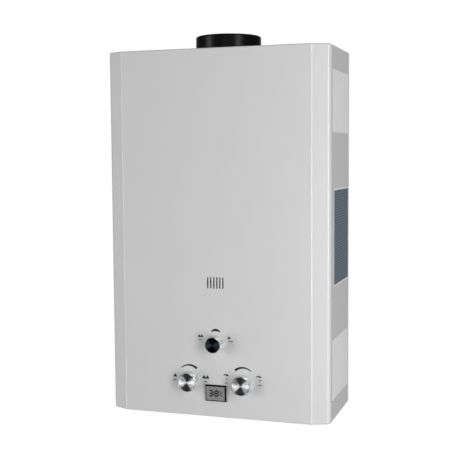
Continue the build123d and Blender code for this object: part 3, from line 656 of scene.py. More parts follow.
def blank(shape: BMesh, radius: float, segments: int) -> list[BMVert]:
    """Cuts a flat round blank that faces the front.

    Args:
        shape: Mesh that the blank goes into.
        radius: Radius of the blank.
        segments: Number of its corners, the first of them at the top.

    Returns:
        Its corners.
    """
    return bmesh.ops.create_circle(shape, cap_ends=True, radius=radius, segments=segments,
                                   matrix=UPRIGHT)["verts"]


def swept(shape: BMesh, radii: Pair, start: float, turn: float, steps: int) -> list[BMVert]:
    """Sweeps a flat band round the depth's axis.

    Args:
        shape: Mesh that the band goes into.
        radii: Inner and outer radius.
        start: First angle in degrees, from the right.
        turn: Degrees that it sweeps, less than nought for clockwise.
        steps: Number of steps along the band.

    Returns:
        Its corners.
    """
    known = set(shape.verts)
    run = chain(shape, [(radius, 0, 0) for radius in radii])
    bmesh.ops.rotate(shape, verts=run[:2], cent=(0, 0, 0),
                     matrix=Matrix.Rotation(-math.radians(start), 3, "Y"))
    bmesh.ops.spin(shape, geom=run, cent=(0, 0, 0), axis=(0, -1, 0), angle=math.radians(turn),
                   steps=steps, use_merge=abs(turn) == 360)
    return [corner for corner in shape.verts if corner not in known]


def soften(shape: BMesh, degrees: float) -> None:
    """Shades a mesh smooth, but for its sharp edges.

    Args:
        shape: Mesh to shade.
        degrees: Edges that turn by more than this stay sharp.
    """
    for face in shape.faces:
        face.smooth = True
    for edge in shape.edges:
        edge.smooth = edge.is_manifold and edge.calc_face_angle(0.0) < math.radians(degrees)


def thicken(shape: BMesh, depth: Vector) -> None:
    """Gives a flat shape a thickness.

    Args:
        shape: Mesh of flat faces.
        depth: Way and distance of the far side.
    """
    raised = bmesh.ops.extrude_face_region(shape, geom=list(shape.faces), use_keep_orig=True)
    far = [item for item in raised["geom"] if isinstance(item, BMVert)]
    bmesh.ops.translate(shape, verts=far, vec=depth)
    bmesh.ops.recalc_face_normals(shape, faces=shape.faces)


def piece(shape: BMesh, name: str, skin: Skin, body: str = ROOT, slot: str | None = None,
          sharp: float = 30.0) -> Object:
    """Makes an object of a mesh, in place, and lets it ride on a body.

    Args:
        shape: Finished mesh, which is freed.
        name: Name of the piece.
        skin: Finish of the piece.
        body: Body that carries the piece.
        slot: Material slot of the record that the piece belongs to; not used.
        sharp: Edges that turn by more than this many degrees stay sharp.

    Returns:
        The new object.
    """
    soften(shape, sharp)
    mesh = bpy.data.meshes.new(name)
    shape.to_mesh(mesh)
    shape.free()
    mesh.materials.append(skin.material())
    made = bpy.data.objects.new(name, mesh)
    bpy.context.scene.collection.objects.link(made)
    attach(made, body)
    LOG.info("%s: %d faces on %s", name, len(mesh.polygons), body)
    return made


def merged(node: str) -> BMesh:
    """A joined-up copy of a node's triangles, with its flats made whole.

    Args:
        node: Name of the node.

    Returns:
        The copy as a mesh under work.
    """
    shape = bmesh.new()
    shape.from_mesh(frame["nodes"][node].data)
    bmesh.ops.remove_doubles(shape, verts=shape.verts, dist=SEAM)
    bmesh.ops.dissolve_limit(shape, angle_limit=FLAT, verts=shape.verts, edges=shape.edges)
    return shape


def restored(shape: BMesh, node: str, skin: Skin, body: str, slot: str,
             sharp: float = 30.0) -> Object:
    """Puts a worked copy in its node's place, with shading that keeps flats flat.

    Args:
        shape: The worked copy.
        node: Node that the copy stands for.
        skin: Finish of the piece.
        body: Body that carries the piece.
        slot: Material slot of the record.
        sharp: Edges that turn by more than this many degrees stay sharp.

    Returns:
        The new object.
    """
    made = piece(shape, f"{node}_skin", skin, body, slot, sharp)
    stale = made.data.attributes.get("custom_normal")
    if stale:
        made.data.attributes.remove(stale)
    flats = made.modifiers.new("flats", "WEIGHTED_NORMAL")
    flats.weight = 100
    flats.keep_sharp = True
    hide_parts(node)
    return made


# Sub-assemblies

@dataclass
class Case:
    """Folded front cover with the back, top and bottom panels."""

    fold_step: float = 13.0

    def build(self) -> Object:
        """Dresses the four sheet pieces.

        Returns:
            The cover.
        """
        cover = restored(merged("front_cover"), "front_cover", Skin.PAINT, ROOT, "painted_sheet",
                         sharp=self.fold_step)
        for panel in ("back_plate", "top_panel", "bottom_panel"):
            restored(merged(panel), panel, Skin.ZINC, ROOT, "galvanised_sheet")
        return cover


@dataclass
class FlueCollar:
    """Black collar on the top: a turned ring with a rounded rim."""

    radius: float = 55.0 * MM
    bore: float = 51.0 * MM
    outer_round: float = 3.0 * MM
    inner_round: float = 0.9 * MM
    steps: int = 128
    outer_steps: int = 8
    inner_steps: int = 4

    def build(self) -> None:
        """Turns the ring."""
        low, high = (Vector(corner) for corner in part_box("flue_collar"))
        middle = (low + high) / 2
        inner, outer = self.inner_round, self.outer_round
        profile = [(self.bore, low.z)]
        profile += arc((self.bore + inner, high.z - inner), inner, 180, 90, self.inner_steps)
        profile += arc((self.radius - outer, high.z - outer), outer, 90, 0, self.outer_steps)
        profile += [(self.radius, low.z), (self.bore, low.z)]
        ring = turned(profile, (0, 0, 1), self.steps)
        bmesh.ops.translate(ring, verts=ring.verts, vec=(middle.x, middle.y, 0))
        collar = piece(ring, "flue_ring", Skin.ENAMEL, ROOT, "black_enamel", sharp=40)
        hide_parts("flue_collar")


@dataclass
class Knob:
    """Chromed knob with a bevelled edge, a spun face and a pointer mark."""

    node: str
    face_skin: Skin
    radius: float
    spindle: float = 4.0 * MM
    gap: float = 0.6 * MM
    bevel: float = 0.8 * MM
    rim: float = 0.15 * MM
    sink: float = 0.4 * MM
    steps: int = 96
    disc_dish: float = 0.2 * MM
    disc_gap: float = 0.02 * MM
    disc_setback: float = 0.05 * MM
    disc_rings: int = 8
    pointer_degrees: float = 150.0
    pointer_share: float = 0.72
    pointer_radius: float = 0.6 * MM
    pointer_half: float = 0.9 * MM
    pointer_height: float = 0.4 * MM

    def build(self) -> None:
        """Turns the knob, lays the spun disc in its face and marks it."""
        low, high = (Vector(corner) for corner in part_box(self.node))
        centre = (low + high) / 2
        self.turn_body(low.y, high.y, centre)
        self.lay_disc(low.y, centre)
        self.mark(low.y, centre)

    def turn_body(self, front: float, back: float, centre: Vector) -> None:
        """Turns the plated body with its spindle.

        Args:
            front: Place of the face along the depth.
            back: Place of the spindle's end along the depth.
            centre: Middle of the knob.
        """
        seat = FACE - self.gap
        edge = self.radius - self.bevel
        floor = front + self.sink
        profile = [(0.0, floor), (edge - self.rim, floor), (edge - self.rim, front)]
        profile += [(edge, front), (self.radius, front + self.bevel), (self.radius, seat)]
        profile += [(self.spindle, seat), (self.spindle, back), (0.0, back)]
        body = turned(profile, (0, 1, 0), self.steps)
        bmesh.ops.translate(body, verts=body.verts, vec=(centre.x, 0, centre.z))
        made = piece(body, f"{self.node}_body", Skin.CHROME, self.node, "chromed_knob")
        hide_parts(self.node)

    def lay_disc(self, front: float, centre: Vector) -> None:
        """Spins the dished disc and maps it round its centre.

        Args:
            front: Place of the face along the depth.
            centre: Middle of the knob.
        """
        radius = self.radius - self.bevel - self.rim - self.disc_gap
        edge = front + self.disc_setback
        shares = [step / self.disc_rings for step in range(self.disc_rings + 1)]
        profile = [(radius * share, edge + self.disc_dish * (1 - share ** 2)) for share in shares]
        disc = turned(profile, (0, 1, 0), self.steps)
        spin = disc.loops.layers.uv.new("spin")
        for face in disc.faces:
            heading = face.calc_center_median()
            middle = math.atan2(heading.z, heading.x)
            for loop in face.loops:
                corner = loop.vert.co
                reach = math.hypot(corner.x, corner.z)
                # The pole has no angle of its own, so it takes that of the face
                turn = middle if reach < SEAM else math.atan2(corner.z, corner.x)
                turn = middle + (turn - middle + math.pi) % math.tau - math.pi
                loop[spin].uv = (turn / math.tau, reach / radius)
            if face.normal.y > 0:
                face.normal_flip()
        bmesh.ops.translate(disc, verts=disc.verts, vec=(centre.x, 0, centre.z))
        piece(disc, f"{self.node}_disc", self.face_skin, self.node, "chromed_knob", sharp=60)

    def mark(self, front: float, centre: Vector) -> None:
        """Lays the short pointer mark near the rim.

        Args:
            front: Place of the face along the depth.
            centre: Middle of the knob.
        """
        turn = math.radians(self.pointer_degrees)
        reach = self.pointer_share * self.radius
        bar = bmesh.new()
        for corner in blank(bar, self.pointer_radius, 16):
            corner.co.x += math.copysign(self.pointer_half, corner.co.x)
        thicken(bar, Vector((0, -self.pointer_height, 0)))
        bmesh.ops.rotate(bar, verts=bar.verts, cent=(0, 0, 0),
                         matrix=Matrix.Rotation(-turn, 3, "Y"))
        place = (centre.x + reach * math.cos(turn), front + self.pointer_height,
                 centre.z + reach * math.sin(turn))
        bmesh.ops.translate(bar, verts=bar.verts, vec=place)
        piece(bar, f"{self.node}_pointer", Skin.INK, self.node, "chromed_knob")


class Segment(Enum):
    """Bars of a seven-part digit: place across, place up and whether it lies flat."""

    TOP = (0.0, 1.0, True)
    UPPER_RIGHT = (0.5, 0.5, False)
    LOWER_RIGHT = (0.5, -0.5, False)
    BOTTOM = (0.0, -1.0, True)
    LOWER_LEFT = (-0.5, -0.5, False)
    UPPER_LEFT = (-0.5, 0.5, False)
    MIDDLE = (0.0, 0.0, True)


@dataclass(frozen=True)
class UnitRing:
    """A ring of the unit sign: its middle across and up, its radius, wall, start and sweep."""

    place: Pair
    radius: float
    wall: float
    start: float
    sweep: float


@dataclass
class Display:
    """Raised bezel with a reflective panel that shows a temperature."""

    digit_width: float = 6.1 * MM
    digit_height: float = 8.8 * MM
    bar: float = 3.0 * MM
    bar_gap: float = 0.15 * MM
    lean: float = 0.06
    rim: float = 2.2 * MM
    lip: float = 0.2 * MM
    crown: float = 2.4 * MM
    recess: float = 1.0 * MM
    corner: float = 0.8 * MM
    tens: tuple[Segment, ...] = (Segment.TOP, Segment.UPPER_RIGHT, Segment.LOWER_RIGHT,
                                 Segment.BOTTOM, Segment.MIDDLE)
    tens_place: float = -7.8 * MM
    units: tuple[Segment, ...] = tuple(Segment)
    units_place: float = 1.6 * MM
    unit_rings: tuple[UnitRing, ...] = (
        UnitRing((7.4 * MM, 4.0 * MM), 1.1 * MM, 0.7 * MM, 0, 360),
        UnitRing((10.6 * MM, -0.4 * MM), 3.2 * MM, 1.3 * MM, 50, 260),
    )

    def build(self) -> None:
        """Makes the bezel, dresses the panel and lays the segments on it."""
        self.frame_panel()
        restored(merged("lcd_panel"), "lcd_panel", Skin.DISPLAY, ROOT, "display_glass")
        low, high = (Vector(corner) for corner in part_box("lcd_panel"))
        middle = (low + high) / 2
        segments = bmesh.new()
        for across, bars in ((self.tens_place, self.tens), (self.units_place, self.units)):
            for each in bars:
                self.draw_bar(segments, across, each)
        for ring in self.unit_rings:
            radii = (ring.radius - ring.wall, ring.radius)
            band = swept(segments, radii, ring.start, ring.sweep, 24)
            bmesh.ops.translate(segments, verts=band, vec=(ring.place[0], 0, ring.place[1]))
        bmesh.ops.translate(segments, verts=segments.verts, vec=(middle.x, low.y, middle.z))
        thicken(segments, Vector((0, -PRINT, 0)))
        piece(segments, "display_segments", Skin.SEGMENT, ROOT, "display_glass")

    def frame_panel(self) -> None:
        """Makes the bezel: a raised frame whose rim slopes back to the cover."""
        low, high = (Vector(corner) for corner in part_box("display_bezel"))
        shape = bmesh.new()
        size = Matrix.Diagonal(tuple(high - low) + (1,))
        bmesh.ops.create_cube(shape, size=1.0, matrix=Matrix.Translation((low + high) / 2) @ size)
        posts = [edge for edge in shape.edges
                 if abs(edge.verts[0].co.y - edge.verts[1].co.y) > self.crown]
        bmesh.ops.bevel(shape, geom=posts, offset=self.corner, segments=4, profile=0.5,
                        affect="EDGES", material=-1)
        front = min(shape.faces, key=lambda face: face.calc_center_median().y)
        bmesh.ops.inset_region(shape, faces=[front], thickness=self.rim - self.lip)
        inner = set(front.verts)
        beside = {edge.other_vert(corner) for corner in inner for edge in corner.link_edges}
        bmesh.ops.translate(shape, verts=list(beside - inner), vec=(0, self.crown, 0))
        bmesh.ops.inset_region(shape, faces=[front], thickness=self.lip, depth=-self.recess)
        bezel = piece(shape, "bezel_frame", Skin.GLOSS_PLASTIC, ROOT, "black_plastic", sharp=12)
        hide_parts("display_bezel")

    def draw_bar(self, shape: BMesh, across: float, bar: Segment) -> None:
        """Draws one pointed bar of a digit.

        Args:
            shape: Mesh of all the segments.
            across: Middle of the digit.
            bar: Which of the seven bars.
        """
        side, up, flat = bar.value
        half = (self.digit_width if flat else self.digit_height / 2) / 2 - self.bar_gap
        for corner in blank(shape, self.bar, 6):
            tip = abs(corner.co.x) < self.bar / 4
            along = math.copysign(half if tip else half - self.bar / 2, corner.co.z)
            beside = 0.0 if tip else math.copysign(self.bar / 2, corner.co.x)
            shift = (along, -beside) if flat else (beside, along)
            height = shift[1] + up * self.digit_height / 2
            place = shift[0] + side * self.digit_width + across + self.lean * height
            corner.co = Vector((place, 0, height))


@dataclass(frozen=True)
class KnobArc:
    """A tapering arc over a knob, in millimetres.

    Attributes:
        place: Middle of the arc's circle, across and up.
        radius: Radius of the arc's middle line.
        half: Half of the arc in degrees.
        widths: Width at the left end, at the top and at the right end.
    """

    place: Pair
    radius: float
    half: float
    widths: Point


@dataclass
class FrontPrint:
    """Screen print on the cover: arcs over the knobs and small signs beside them.

    All sizes are in millimetres, and places are across and up from the middle of the case.
    A dash has its length after its place.
    """

    arcs: tuple[KnobArc, ...] = (
        KnobArc((-47.2, -238.0), 20.0, 43, (1.5, 2.9, 4.3)),
        KnobArc((46.8, -237.0), 20.0, 43, (4.3, 2.9, 1.5)),
        KnobArc((0.0, -167.4), 10.6, 46, (1.5, 4.3, 1.5)),
    )
    large_flames: tuple[Pair, ...] = ((-72.3, -237.4), (-20.9, -237.2), (-15.1, -237.2))
    small_flames: tuple[Pair, ...] = ((-28.6, -168.3), (-24.2, -168.3), (23.1, -168.7))
    large_flame: float = 3.1
    small_flame: float = 2.5
    taps: tuple[Pair, ...] = ((16.2, -232.6), (72.4, -231.8))
    tap_radii: Pair = (1.7, 3.7)
    tap_bow: float = 165.0
    tap_flare: float = 2.6
    tap_squat: float = 0.75
    drops: tuple[Pair, ...] = ((18.5, -237.4), (74.4, -236.2), (77.0, -236.2))
    drop_radius: float = 1.1
    dashes: tuple[Point, ...] = ((-72.4, -244.6, 5.0), (-18.2, -244.5, 5.0), (17.8, -244.2, 5.0),
                                 (75.7, -244.4, 5.4), (-26.9, -174.4, 6.4), (26.1, -174.6, 7.4))
    dash_radius: float = 0.75

    def build(self) -> None:
        """Prints arcs, flames, taps, drops and bars."""
        arcs, signs, pale = bmesh.new(), bmesh.new(), bmesh.new()
        for curve in self.arcs:
            self.draw_arc(arcs, curve)
        for size, places in ((self.large_flame, self.large_flames),
                             (self.small_flame, self.small_flames)):
            for place in places:
                self.draw_flame(signs, place, size)
        for place in self.taps:
            self.draw_tap(signs, place)
        for place in self.drops:
            self.draw_drop(pale, place)
        for across, up, length in self.dashes:
            self.draw_dash(pale, (across, up), length)
        self.print_on(arcs, "knob_arcs", Skin.INK)
        self.print_on(signs, "knob_signs", Skin.INK)
        self.print_on(pale, "knob_marks", Skin.PALE_INK)

    def print_on(self, shape: BMesh, name: str, skin: Skin) -> None:
        """Lays a flat drawing on the cover's face.

        Args:
            shape: The drawing in millimetres, upright at nought depth.
            name: Name of the piece.
            skin: Ink of the print.
        """
        bmesh.ops.scale(shape, verts=shape.verts, vec=(MM, MM, MM))
        thicken(shape, Vector((0, -PRINT, 0)))
        bmesh.ops.translate(shape, verts=shape.verts, vec=(0, FACE, 0))
        piece(shape, name, skin, ROOT, "painted_sheet")

    def draw_arc(self, shape: BMesh, curve: KnobArc) -> None:
        """Draws a tapering arc over a knob.

        Args:
            shape: Drawing that the arc goes into.
            curve: The arc.
        """
        middle = Vector((curve.place[0], 0, curve.place[1]))
        radius, half = curve.radius, curve.half
        left, top, right = curve.widths
        swell = top - (left + right) / 2
        for corner in swept(shape, (radius, radius + 1), 90 + half, -2 * half, 32):
            turn = math.degrees(math.atan2(corner.co.z, corner.co.x))
            share = min(max((90 + half - turn) / (2 * half), 0.0), 1.0)
            width = left + (right - left) * share + swell * math.sin(math.pi * share)
            reach = radius + math.copysign(width / 2, corner.co.length - radius - 0.5)
            corner.co = corner.co.normalized() * reach + middle

    def draw_flame(self, shape: BMesh, place: Pair, size: float) -> None:
        """Draws a flame as a squat drop with a point at the top and a notch at its foot.

        Args:
            shape: Drawing that the flame goes into.
            place: Middle of the flame.
            size: Half of its height.
        """
        notch, notch_width = 0.6 * size, 0.4 * size
        taper, narrowest, widening, stretch = 0.45, 0.8, 0.6, 1.15
        for corner in blank(shape, size, 24):
            share = min(max((corner.co.z / size + 1) / 2, 0.0), 1.0)
            if share < 0.5:
                lift = notch * math.exp(-(corner.co.x / notch_width) ** 2)
            else:
                lift = 0.0
            corner.co.x *= (1 - share) ** taper * (narrowest + widening * (1 - share))
            corner.co.z = corner.co.z * stretch + lift
            corner.co += Vector((place[0], 0, place[1]))

    def draw_tap(self, shape: BMesh, place: Pair) -> None:
        """Draws a tap: a bowed spout that grows thicker to its mouth.

        Args:
            shape: Drawing that the tap goes into.
            place: Middle of the tap.
        """
        middle = sum(self.tap_radii) / 2
        for corner in swept(shape, self.tap_radii, self.tap_bow, -self.tap_bow, 16):
            turn = math.degrees(math.atan2(corner.co.z, corner.co.x))
            if corner.co.length > middle:
                growth = self.tap_flare * (1 - turn / self.tap_bow) ** 2
                corner.co = corner.co.normalized() * (corner.co.length + growth)
            corner.co.z *= self.tap_squat
            corner.co += Vector((place[0], 0, place[1]))

    def draw_drop(self, shape: BMesh, place: Pair) -> None:
        """Draws a falling drop.

        Args:
            shape: Drawing that the drop goes into.
            place: Middle of the drop.
        """
        taper, point, stretch = 0.9, 1.5, 1.5
        for corner in blank(shape, self.drop_radius, 16):
            share = max((corner.co.z / self.drop_radius + 1) / 2, 0.0)
            corner.co.x *= 1 - taper * share ** point
            corner.co.z *= stretch
            corner.co += Vector((place[0], 0, place[1]))

    def draw_dash(self, shape: BMesh, place: Pair, length: float) -> None:
        """Draws a short bar with round ends.

        Args:
            shape: Drawing that the bar goes into.
            place: Middle of the bar.
            length: Length of the bar.
        """
        for corner in blank(shape, self.dash_radius, 12):
            corner.co.x += math.copysign(length / 2 - self.dash_radius, corner.co.x)
            corner.co += Vector((place[0], 0, place[1]))


@dataclass
class SideSticker:
    """Plain slate film on the right-hand side of the case."""

    front: float = -125.0 * MM
    rear: float = -6.0 * MM
    base: float = -83.2 * MM
    top: float = 74.8 * MM
    corner: float = 3.0 * MM
    border: float = 2.4 * MM
    thickness: float = PRINT

    def build(self) -> None:
        """Cuts the film with round corners and a pale edge."""
        self.cut("side_film_edge", Skin.WHITE_PLASTIC, 0.0, 0.0)
        self.cut("side_film", Skin.STICKER, self.border, self.thickness)

    def cut(self, name: str, skin: Skin, inset: float, lift: float) -> None:
        """Cuts one layer of the film.

        Args:
            name: Name of the layer.
            skin: Finish of the layer.
            inset: How far it stays inside the film's outline.
            lift: How far it lies above the case.
        """
        film = bmesh.new()
        size = Matrix.Diagonal((self.thickness, self.rear - self.front - 2 * inset,
                                self.top - self.base - 2 * inset, 1))
        bmesh.ops.create_cube(film, size=1.0, matrix=size)
        through = [edge for edge in film.edges
                   if abs(edge.verts[0].co.x - edge.verts[1].co.x) > self.thickness / 2]
        bmesh.ops.bevel(film, geom=through, offset=self.corner - inset, segments=6, profile=0.5,
                        affect="EDGES", material=-1)
        place = (SIDE + self.thickness / 2 + lift, (self.front + self.rear) / 2,
                 (self.base + self.top) / 2)
        bmesh.ops.translate(film, verts=film.verts, vec=place)
        piece(film, name, skin, ROOT, "painted_sheet")


@dataclass(frozen=True)
class Tail:
    """A connection tail: its node, its place across, and what it and its thread are made of."""

    node: str
    side: float
    skin: Skin
    slot: str
    thread_skin: Skin = Skin.BRASS
    thread_slot: str = "brass"


@dataclass
class PipeTails:
    """Threaded tails below the case for the gas, cold and hot connections."""

    root: float = 9.35 * MM
    crest: float = 10.48 * MM
    crest_share: float = 0.12
    pitch: float = 1.814 * MM
    turns: int = 8
    steps: int = 28
    start: float = -321.5 * MM
    shoulder: float = -305.0 * MM
    chamfer: float = 0.8 * MM
    slack: float = 0.1 * MM
    depth: float = -78.0 * MM
    tails: tuple[Tail, ...] = (
        Tail("gas_valve_body", -46.5 * MM, Skin.ALUMINIUM, "cast_aluminium"),
        Tail("water_valve_body", 46.5 * MM, Skin.BRASS, "brass"),
        Tail("hot_pipe", -130.0 * MM, Skin.COPPER, "copper", Skin.COPPER, "copper"),
    )

    def build(self) -> None:
        """Turns each tail down to the thread's root and winds the thread on it."""
        for tail in self.tails:
            self.neck(tail)
            self.wind(tail)

    def neck(self, tail: Tail) -> None:
        """Takes a copy of the piece and turns its tail down.

        Args:
            tail: The tail.
        """
        shape = merged(tail.node)
        for level in (self.shoulder, self.shoulder - self.chamfer):
            bmesh.ops.bisect_plane(shape, geom=shape.verts[:] + shape.edges[:] + shape.faces[:],
                                   plane_co=(0, 0, level), plane_no=(0, 0, 1))
        for corner in shape.verts:
            away = Vector((corner.co.x - tail.side, corner.co.y - self.depth, 0))
            below = corner.co.z < self.shoulder - self.chamfer / 2
            if below and away.length > self.crest - self.slack:
                corner.co -= away.normalized() * (away.length - self.root)
        restored(shape, tail.node, tail.skin, ROOT, tail.slot)

    def wind(self, tail: Tail) -> None:
        """Winds the thread's ridge up the tail.

        Args:
            tail: The tail.
        """
        shape = bmesh.new()
        foot = self.root - self.slack
        half = self.pitch / 2
        flat = self.crest_share * half
        run = chain(shape, [(foot, 0, -half), (self.crest, 0, -flat), (self.crest, 0, flat),
                            (foot, 0, half)])
        bmesh.ops.spin(shape, geom=run, cent=(0, 0, 0), axis=(0, 0, 1),
                       dvec=(0, 0, self.pitch / self.steps), angle=math.tau * self.turns,
                       steps=self.steps * self.turns)
        bmesh.ops.recalc_face_normals(shape, faces=shape.faces)
        bmesh.ops.translate(shape, verts=shape.verts,
                            vec=(tail.side, self.depth, self.start + half))
        piece(shape, f"{tail.node}_thread", tail.thread_skin, ROOT, tail.thread_slot, sharp=20)


@dataclass
class CaseScrews:
    """Hexagon washer-head screws that hold the cover's lower lip."""

    head: float = 3.4 * MM
    edge: float = 0.3 * MM
    height: float = 2.4 * MM
    washer: float = 4.6 * MM
    washer_height: float = 0.7 * MM
    washer_slope: float = 0.4 * MM
    places: Point = (-150.0 * MM, 0.0, 150.0 * MM)
    depth: float = -147.0 * MM
    level: float = -303.0 * MM

    def build(self) -> None:
        """Drives three screws up into the lower lip."""
        lip = bmesh.new()
        for across in self.places:
            seat = Vector((across, self.depth, self.level))
            self.stack(lip, seat, 24, (self.washer, self.washer - self.washer_slope),
                       self.washer_height)
            seat.z -= self.washer_height
            head = self.stack(lip, seat, 6, (self.head, self.head),
                              self.height - self.washer_height)
            end = min((face for corner in head for face in corner.link_faces),
                      key=lambda face: face.calc_center_median().z)
            bmesh.ops.bevel(lip, geom=list(end.edges), offset=self.edge, segments=2, profile=0.5,
                            affect="EDGES", material=-1)
        piece(lip, "lip_screws", Skin.ZINC, ROOT, "galvanised_sheet", sharp=40)

    def stack(self, shape: BMesh, seat: Vector, sides: int, radii: Pair,
              tall: float) -> list[BMVert]:
        """Hangs a washer or a head below a point.

        Args:
            shape: Mesh that it goes into.
            seat: Middle of its upper face.
            sides: Number of its sides.
            radii: Radius at its upper and its lower face.
            tall: Its height.

        Returns:
            Its corners.
        """
        place = Matrix.Translation(seat - Vector((0, 0, tall / 2)))
        return bmesh.ops.create_cone(shape, cap_ends=True, segments=sides, radius1=radii[0],
                                     radius2=radii[1], depth=tall,
                                     matrix=place @ Matrix.Rotation(math.pi, 4, "X"))["verts"]


@dataclass
class BatteryDoor:
    """Battery compartment under the case with its hinged lid."""

    def build(self) -> None:
        """Dresses the box and the lid."""
        for node, body in (("battery_box", ROOT), ("battery_lid", "battery_lid")):
            restored(merged(node), node, Skin.BLACK_PLASTIC, body, "black_plastic")


@dataclass
class InsideWorks:
    """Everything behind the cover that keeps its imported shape."""

    skins: ClassVar[dict[str, Skin]] = {
        "galvanised_sheet": Skin.ZINC,
        "copper": Skin.COPPER,
        "brass": Skin.BRASS,
        "stainless_sheet": Skin.STAINLESS,
        "cast_aluminium": Skin.ALUMINIUM,
        "ceramic": Skin.CERAMIC,
        "black_plastic": Skin.BLACK_PLASTIC,
        "white_plastic": Skin.WHITE_PLASTIC,
        "rubber": Skin.RUBBER,
        "painted_sheet": Skin.PAINT,
        "black_enamel": Skin.ENAMEL,
        "chromed_knob": Skin.CHROME,
        "display_glass": Skin.DISPLAY,
    }

    def build(self) -> None:
        """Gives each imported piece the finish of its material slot."""
        for part in frame["record"]["subparts"]:
            node = frame["nodes"][part["node"]]
            finish = self.skins[part["material_slot"]].material()
            if not node.material_slots:
                node.data.materials.append(finish)
            for place in node.material_slots:
                place.link = "OBJECT"
                place.material = finish
            LOG.info("%s: %s", part["node"], finish.name)


# Studio

@dataclass(frozen=True)
class Softbox:
    """A soft rectangular light.

    Attributes:
        name: Name of the light.
        place: Where it hangs.
        size: Width and height.
        watts: Power.
        target: Point that it faces.
        diffuse: Whether it lights matt surfaces.
        glossy: Whether it shows in gloss.
        cover_only: Whether only the cover receives it.
    """

    name: str
    place: Point
    size: Pair
    watts: float
    target: Point = (0, 0, -0.05)
    diffuse: bool = True
    glossy: bool = True
    cover_only: bool = False

    def hang(self) -> Object:
        """Makes the light, out of the camera's sight.

        Returns:
            The light.
        """
        data = bpy.data.lights.new(self.name, "AREA")
        data.shape = "RECTANGLE"
        data.size, data.size_y = self.size
        data.energy = self.watts
        light = bpy.data.objects.new(self.name, data)
        way = Vector(self.target) - Vector(self.place)
        turn = way.to_track_quat("-Z", "Y").to_matrix().to_4x4()
        light.matrix_world = Matrix.Translation(self.place) @ turn
        light.visible_camera = False
        light.visible_diffuse = self.diffuse
        light.visible_glossy = self.glossy
        bpy.context.scene.collection.objects.link(light)
        return light


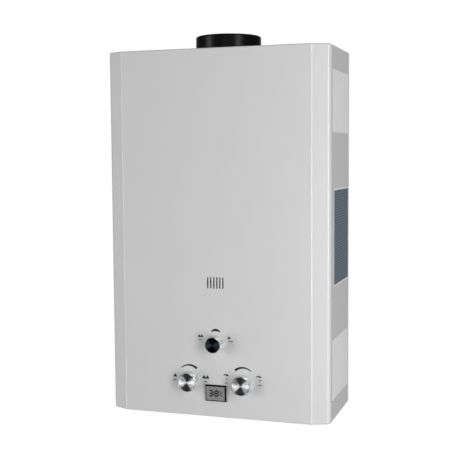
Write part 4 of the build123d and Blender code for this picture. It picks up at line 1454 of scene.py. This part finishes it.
@dataclass
class Studio:
    """Camera, lights, backdrop and floor around the heater, whose cover one light is for."""

    cover: Object
    eye: Point = (0.4988, -1.6018, 0.1313)
    gaze: Point = (-0.3110, 0.9470, -0.0799)
    roll: float = -0.416
    lens: float = 73.54
    sensor: float = 36.0
    sky: float = 0.1
    softboxes: tuple[Softbox, ...] = (
        Softbox("key", (1.7, -1.4, 0.0), (0.55, 2.3), 33),
        Softbox("fill", (-3.2, -2.4, -0.1), (1.1, 3.4), 82),
        Softbox("strip", (0.42, -2.97, -0.43), (0.2, 1.55), 23, (0, 0, -0.1), diffuse=False),
        Softbox("fold", (0.42, -2.97, -0.1), (0.5, 2.4), 62, (0, 0, -0.1), diffuse=False,
                cover_only=True),
        Softbox("front", (0.5, -1.1, -0.2), (0.7, 0.7), 2.0, (0.1, 0, -0.1), glossy=False),
        Softbox("side", (2.6, -0.45, -0.1), (0.8, 1.6), 5.5, glossy=False),
        Softbox("left", (-2.6, -0.8, -0.3), (0.8, 1.6), 8, glossy=False),
        Softbox("top", (0.9, -0.9, 1.9), (1.4, 1.0), 6, (0, 0, -0.1)),
    )
    floor_half: float = 1.2
    floor_middle: Point = (0, 0.7, -1.3)
    backdrop_half: Pair = (1.35, 1.6)
    backdrop_middle: Point = (-0.85, 2.4, -0.1)
    flag_half: Pair = (0.55, 2.0)
    flag_middle: Point = (-0.75, -2.4, -0.3)
    flag_turn: float = -18.0

    def build(self) -> None:
        """Sets up the whole studio."""
        self.set_camera()
        self.set_sky()
        self.set_stage()
        self.set_lights()
        bpy.context.scene.view_settings.view_transform = "Standard"

    def set_camera(self) -> None:
        """Puts the camera at the photograph's viewing angle."""
        ahead = Vector(self.gaze).normalized()
        level = ahead.cross(Vector((0, 0, 1))).normalized()
        plumb = level.cross(ahead)
        turn = math.radians(self.roll)
        right = level * math.cos(turn) + plumb * math.sin(turn)
        up = plumb * math.cos(turn) - level * math.sin(turn)
        data = bpy.data.cameras.new("camera")
        data.lens = self.lens
        data.sensor_width = self.sensor
        camera = bpy.data.objects.new("camera", data)
        aim = Matrix((right, up, -ahead)).transposed().to_4x4()
        camera.matrix_world = Matrix.Translation(self.eye) @ aim
        bpy.context.scene.collection.objects.link(camera)
        bpy.context.scene.camera = camera

    def set_sky(self) -> None:
        """Fills the room with an even pale light."""
        world = bpy.data.worlds.new("studio")
        world.use_nodes = True
        sky = world.node_tree.nodes["Background"]
        sky.inputs["Color"].default_value = linear("#FFFFFF")
        sky.inputs["Strength"].default_value = self.sky
        bpy.context.scene.world = world

    def set_lights(self) -> None:
        """Hangs the softboxes and keeps the one for the folds to the cover."""
        cover_only = bpy.data.collections.new("cover only")
        cover_only.objects.link(self.cover)
        for box in self.softboxes:
            light = box.hang()
            if box.cover_only:
                light.light_linking.receiver_collection = cover_only

    def set_stage(self) -> None:
        """Lays the floor far below, and hangs a lit backdrop and a dark flag beside the camera."""
        floor = bmesh.new()
        bmesh.ops.create_grid(floor, x_segments=2, y_segments=2, size=self.floor_half,
                              matrix=Matrix.Translation(self.floor_middle))
        self.keep(floor, "floor", Skin.FLOOR.material())
        lit = bpy.data.materials.new("lit backdrop")
        lit.use_nodes = True
        lit.node_tree.nodes.clear()
        glow = add_node(lit.node_tree, "ShaderNodeEmission",
                        values={"Color": linear("#FFFFFF"), "Strength": 1.0})
        add_node(lit.node_tree, "ShaderNodeOutputMaterial",
                 links={"Surface": glow.outputs["Emission"]})
        self.hang_card("backdrop", self.backdrop_half, 0.0, self.backdrop_middle, lit)
        black = bpy.data.materials.new("black flag")
        black.use_nodes = True
        shader = black.node_tree.nodes["Principled BSDF"]
        shader.inputs["Base Color"].default_value = linear("#0A0A0A")
        flag = self.hang_card("flag", self.flag_half, self.flag_turn, self.flag_middle, black)
        flag.visible_camera = False
        flag.visible_shadow = False

    def hang_card(self, name: str, half: Pair, turn: float, middle: Point,
                  material: Material) -> Object:
        """Hangs an upright card.

        Args:
            name: Name of the card.
            half: Half of its width and height.
            turn: Degrees that it is turned about the upright.
            middle: Where its middle hangs.
            material: Its material.

        Returns:
            The card.
        """
        card = bmesh.new()
        bmesh.ops.create_grid(card, x_segments=1, y_segments=1, size=1.0)
        bmesh.ops.scale(card, verts=card.verts, vec=(*half, 1))
        about = Matrix.Rotation(math.radians(turn), 4, "Z") @ UPRIGHT
        bmesh.ops.transform(card, verts=card.verts, matrix=Matrix.Translation(middle) @ about)
        return self.keep(card, name, material)

    def keep(self, shape: BMesh, name: str, material: Material) -> Object:
        """Makes a stage object of a mesh.

        Args:
            shape: Finished mesh, which is freed.
            name: Name of the object.
            material: Its material.

        Returns:
            The new object.
        """
        mesh = bpy.data.meshes.new(name)
        shape.to_mesh(mesh)
        shape.free()
        mesh.materials.append(material)
        made = bpy.data.objects.new(name, mesh)
        bpy.context.scene.collection.objects.link(made)
        return made


def main() -> None:
    """Builds the heater's looks in order."""
    logging.basicConfig(level=logging.INFO, format="%(name)s %(message)s")
    InsideWorks().build()
    cover = Case().build()
    FlueCollar().build()
    Knob("gas_knob", Skin.SPUN, 15.5 * MM).build()
    Knob("water_knob", Skin.SPUN, 15.5 * MM).build()
    Knob("season_knob", Skin.SPUN_DARK, 13.2 * MM).build()
    Display().build()
    FrontPrint().build()
    SideSticker().build()
    PipeTails().build()
    CaseScrews().build()
    BatteryDoor().build()
    Studio(cover).build()


if __name__ == "__main__":
    main()
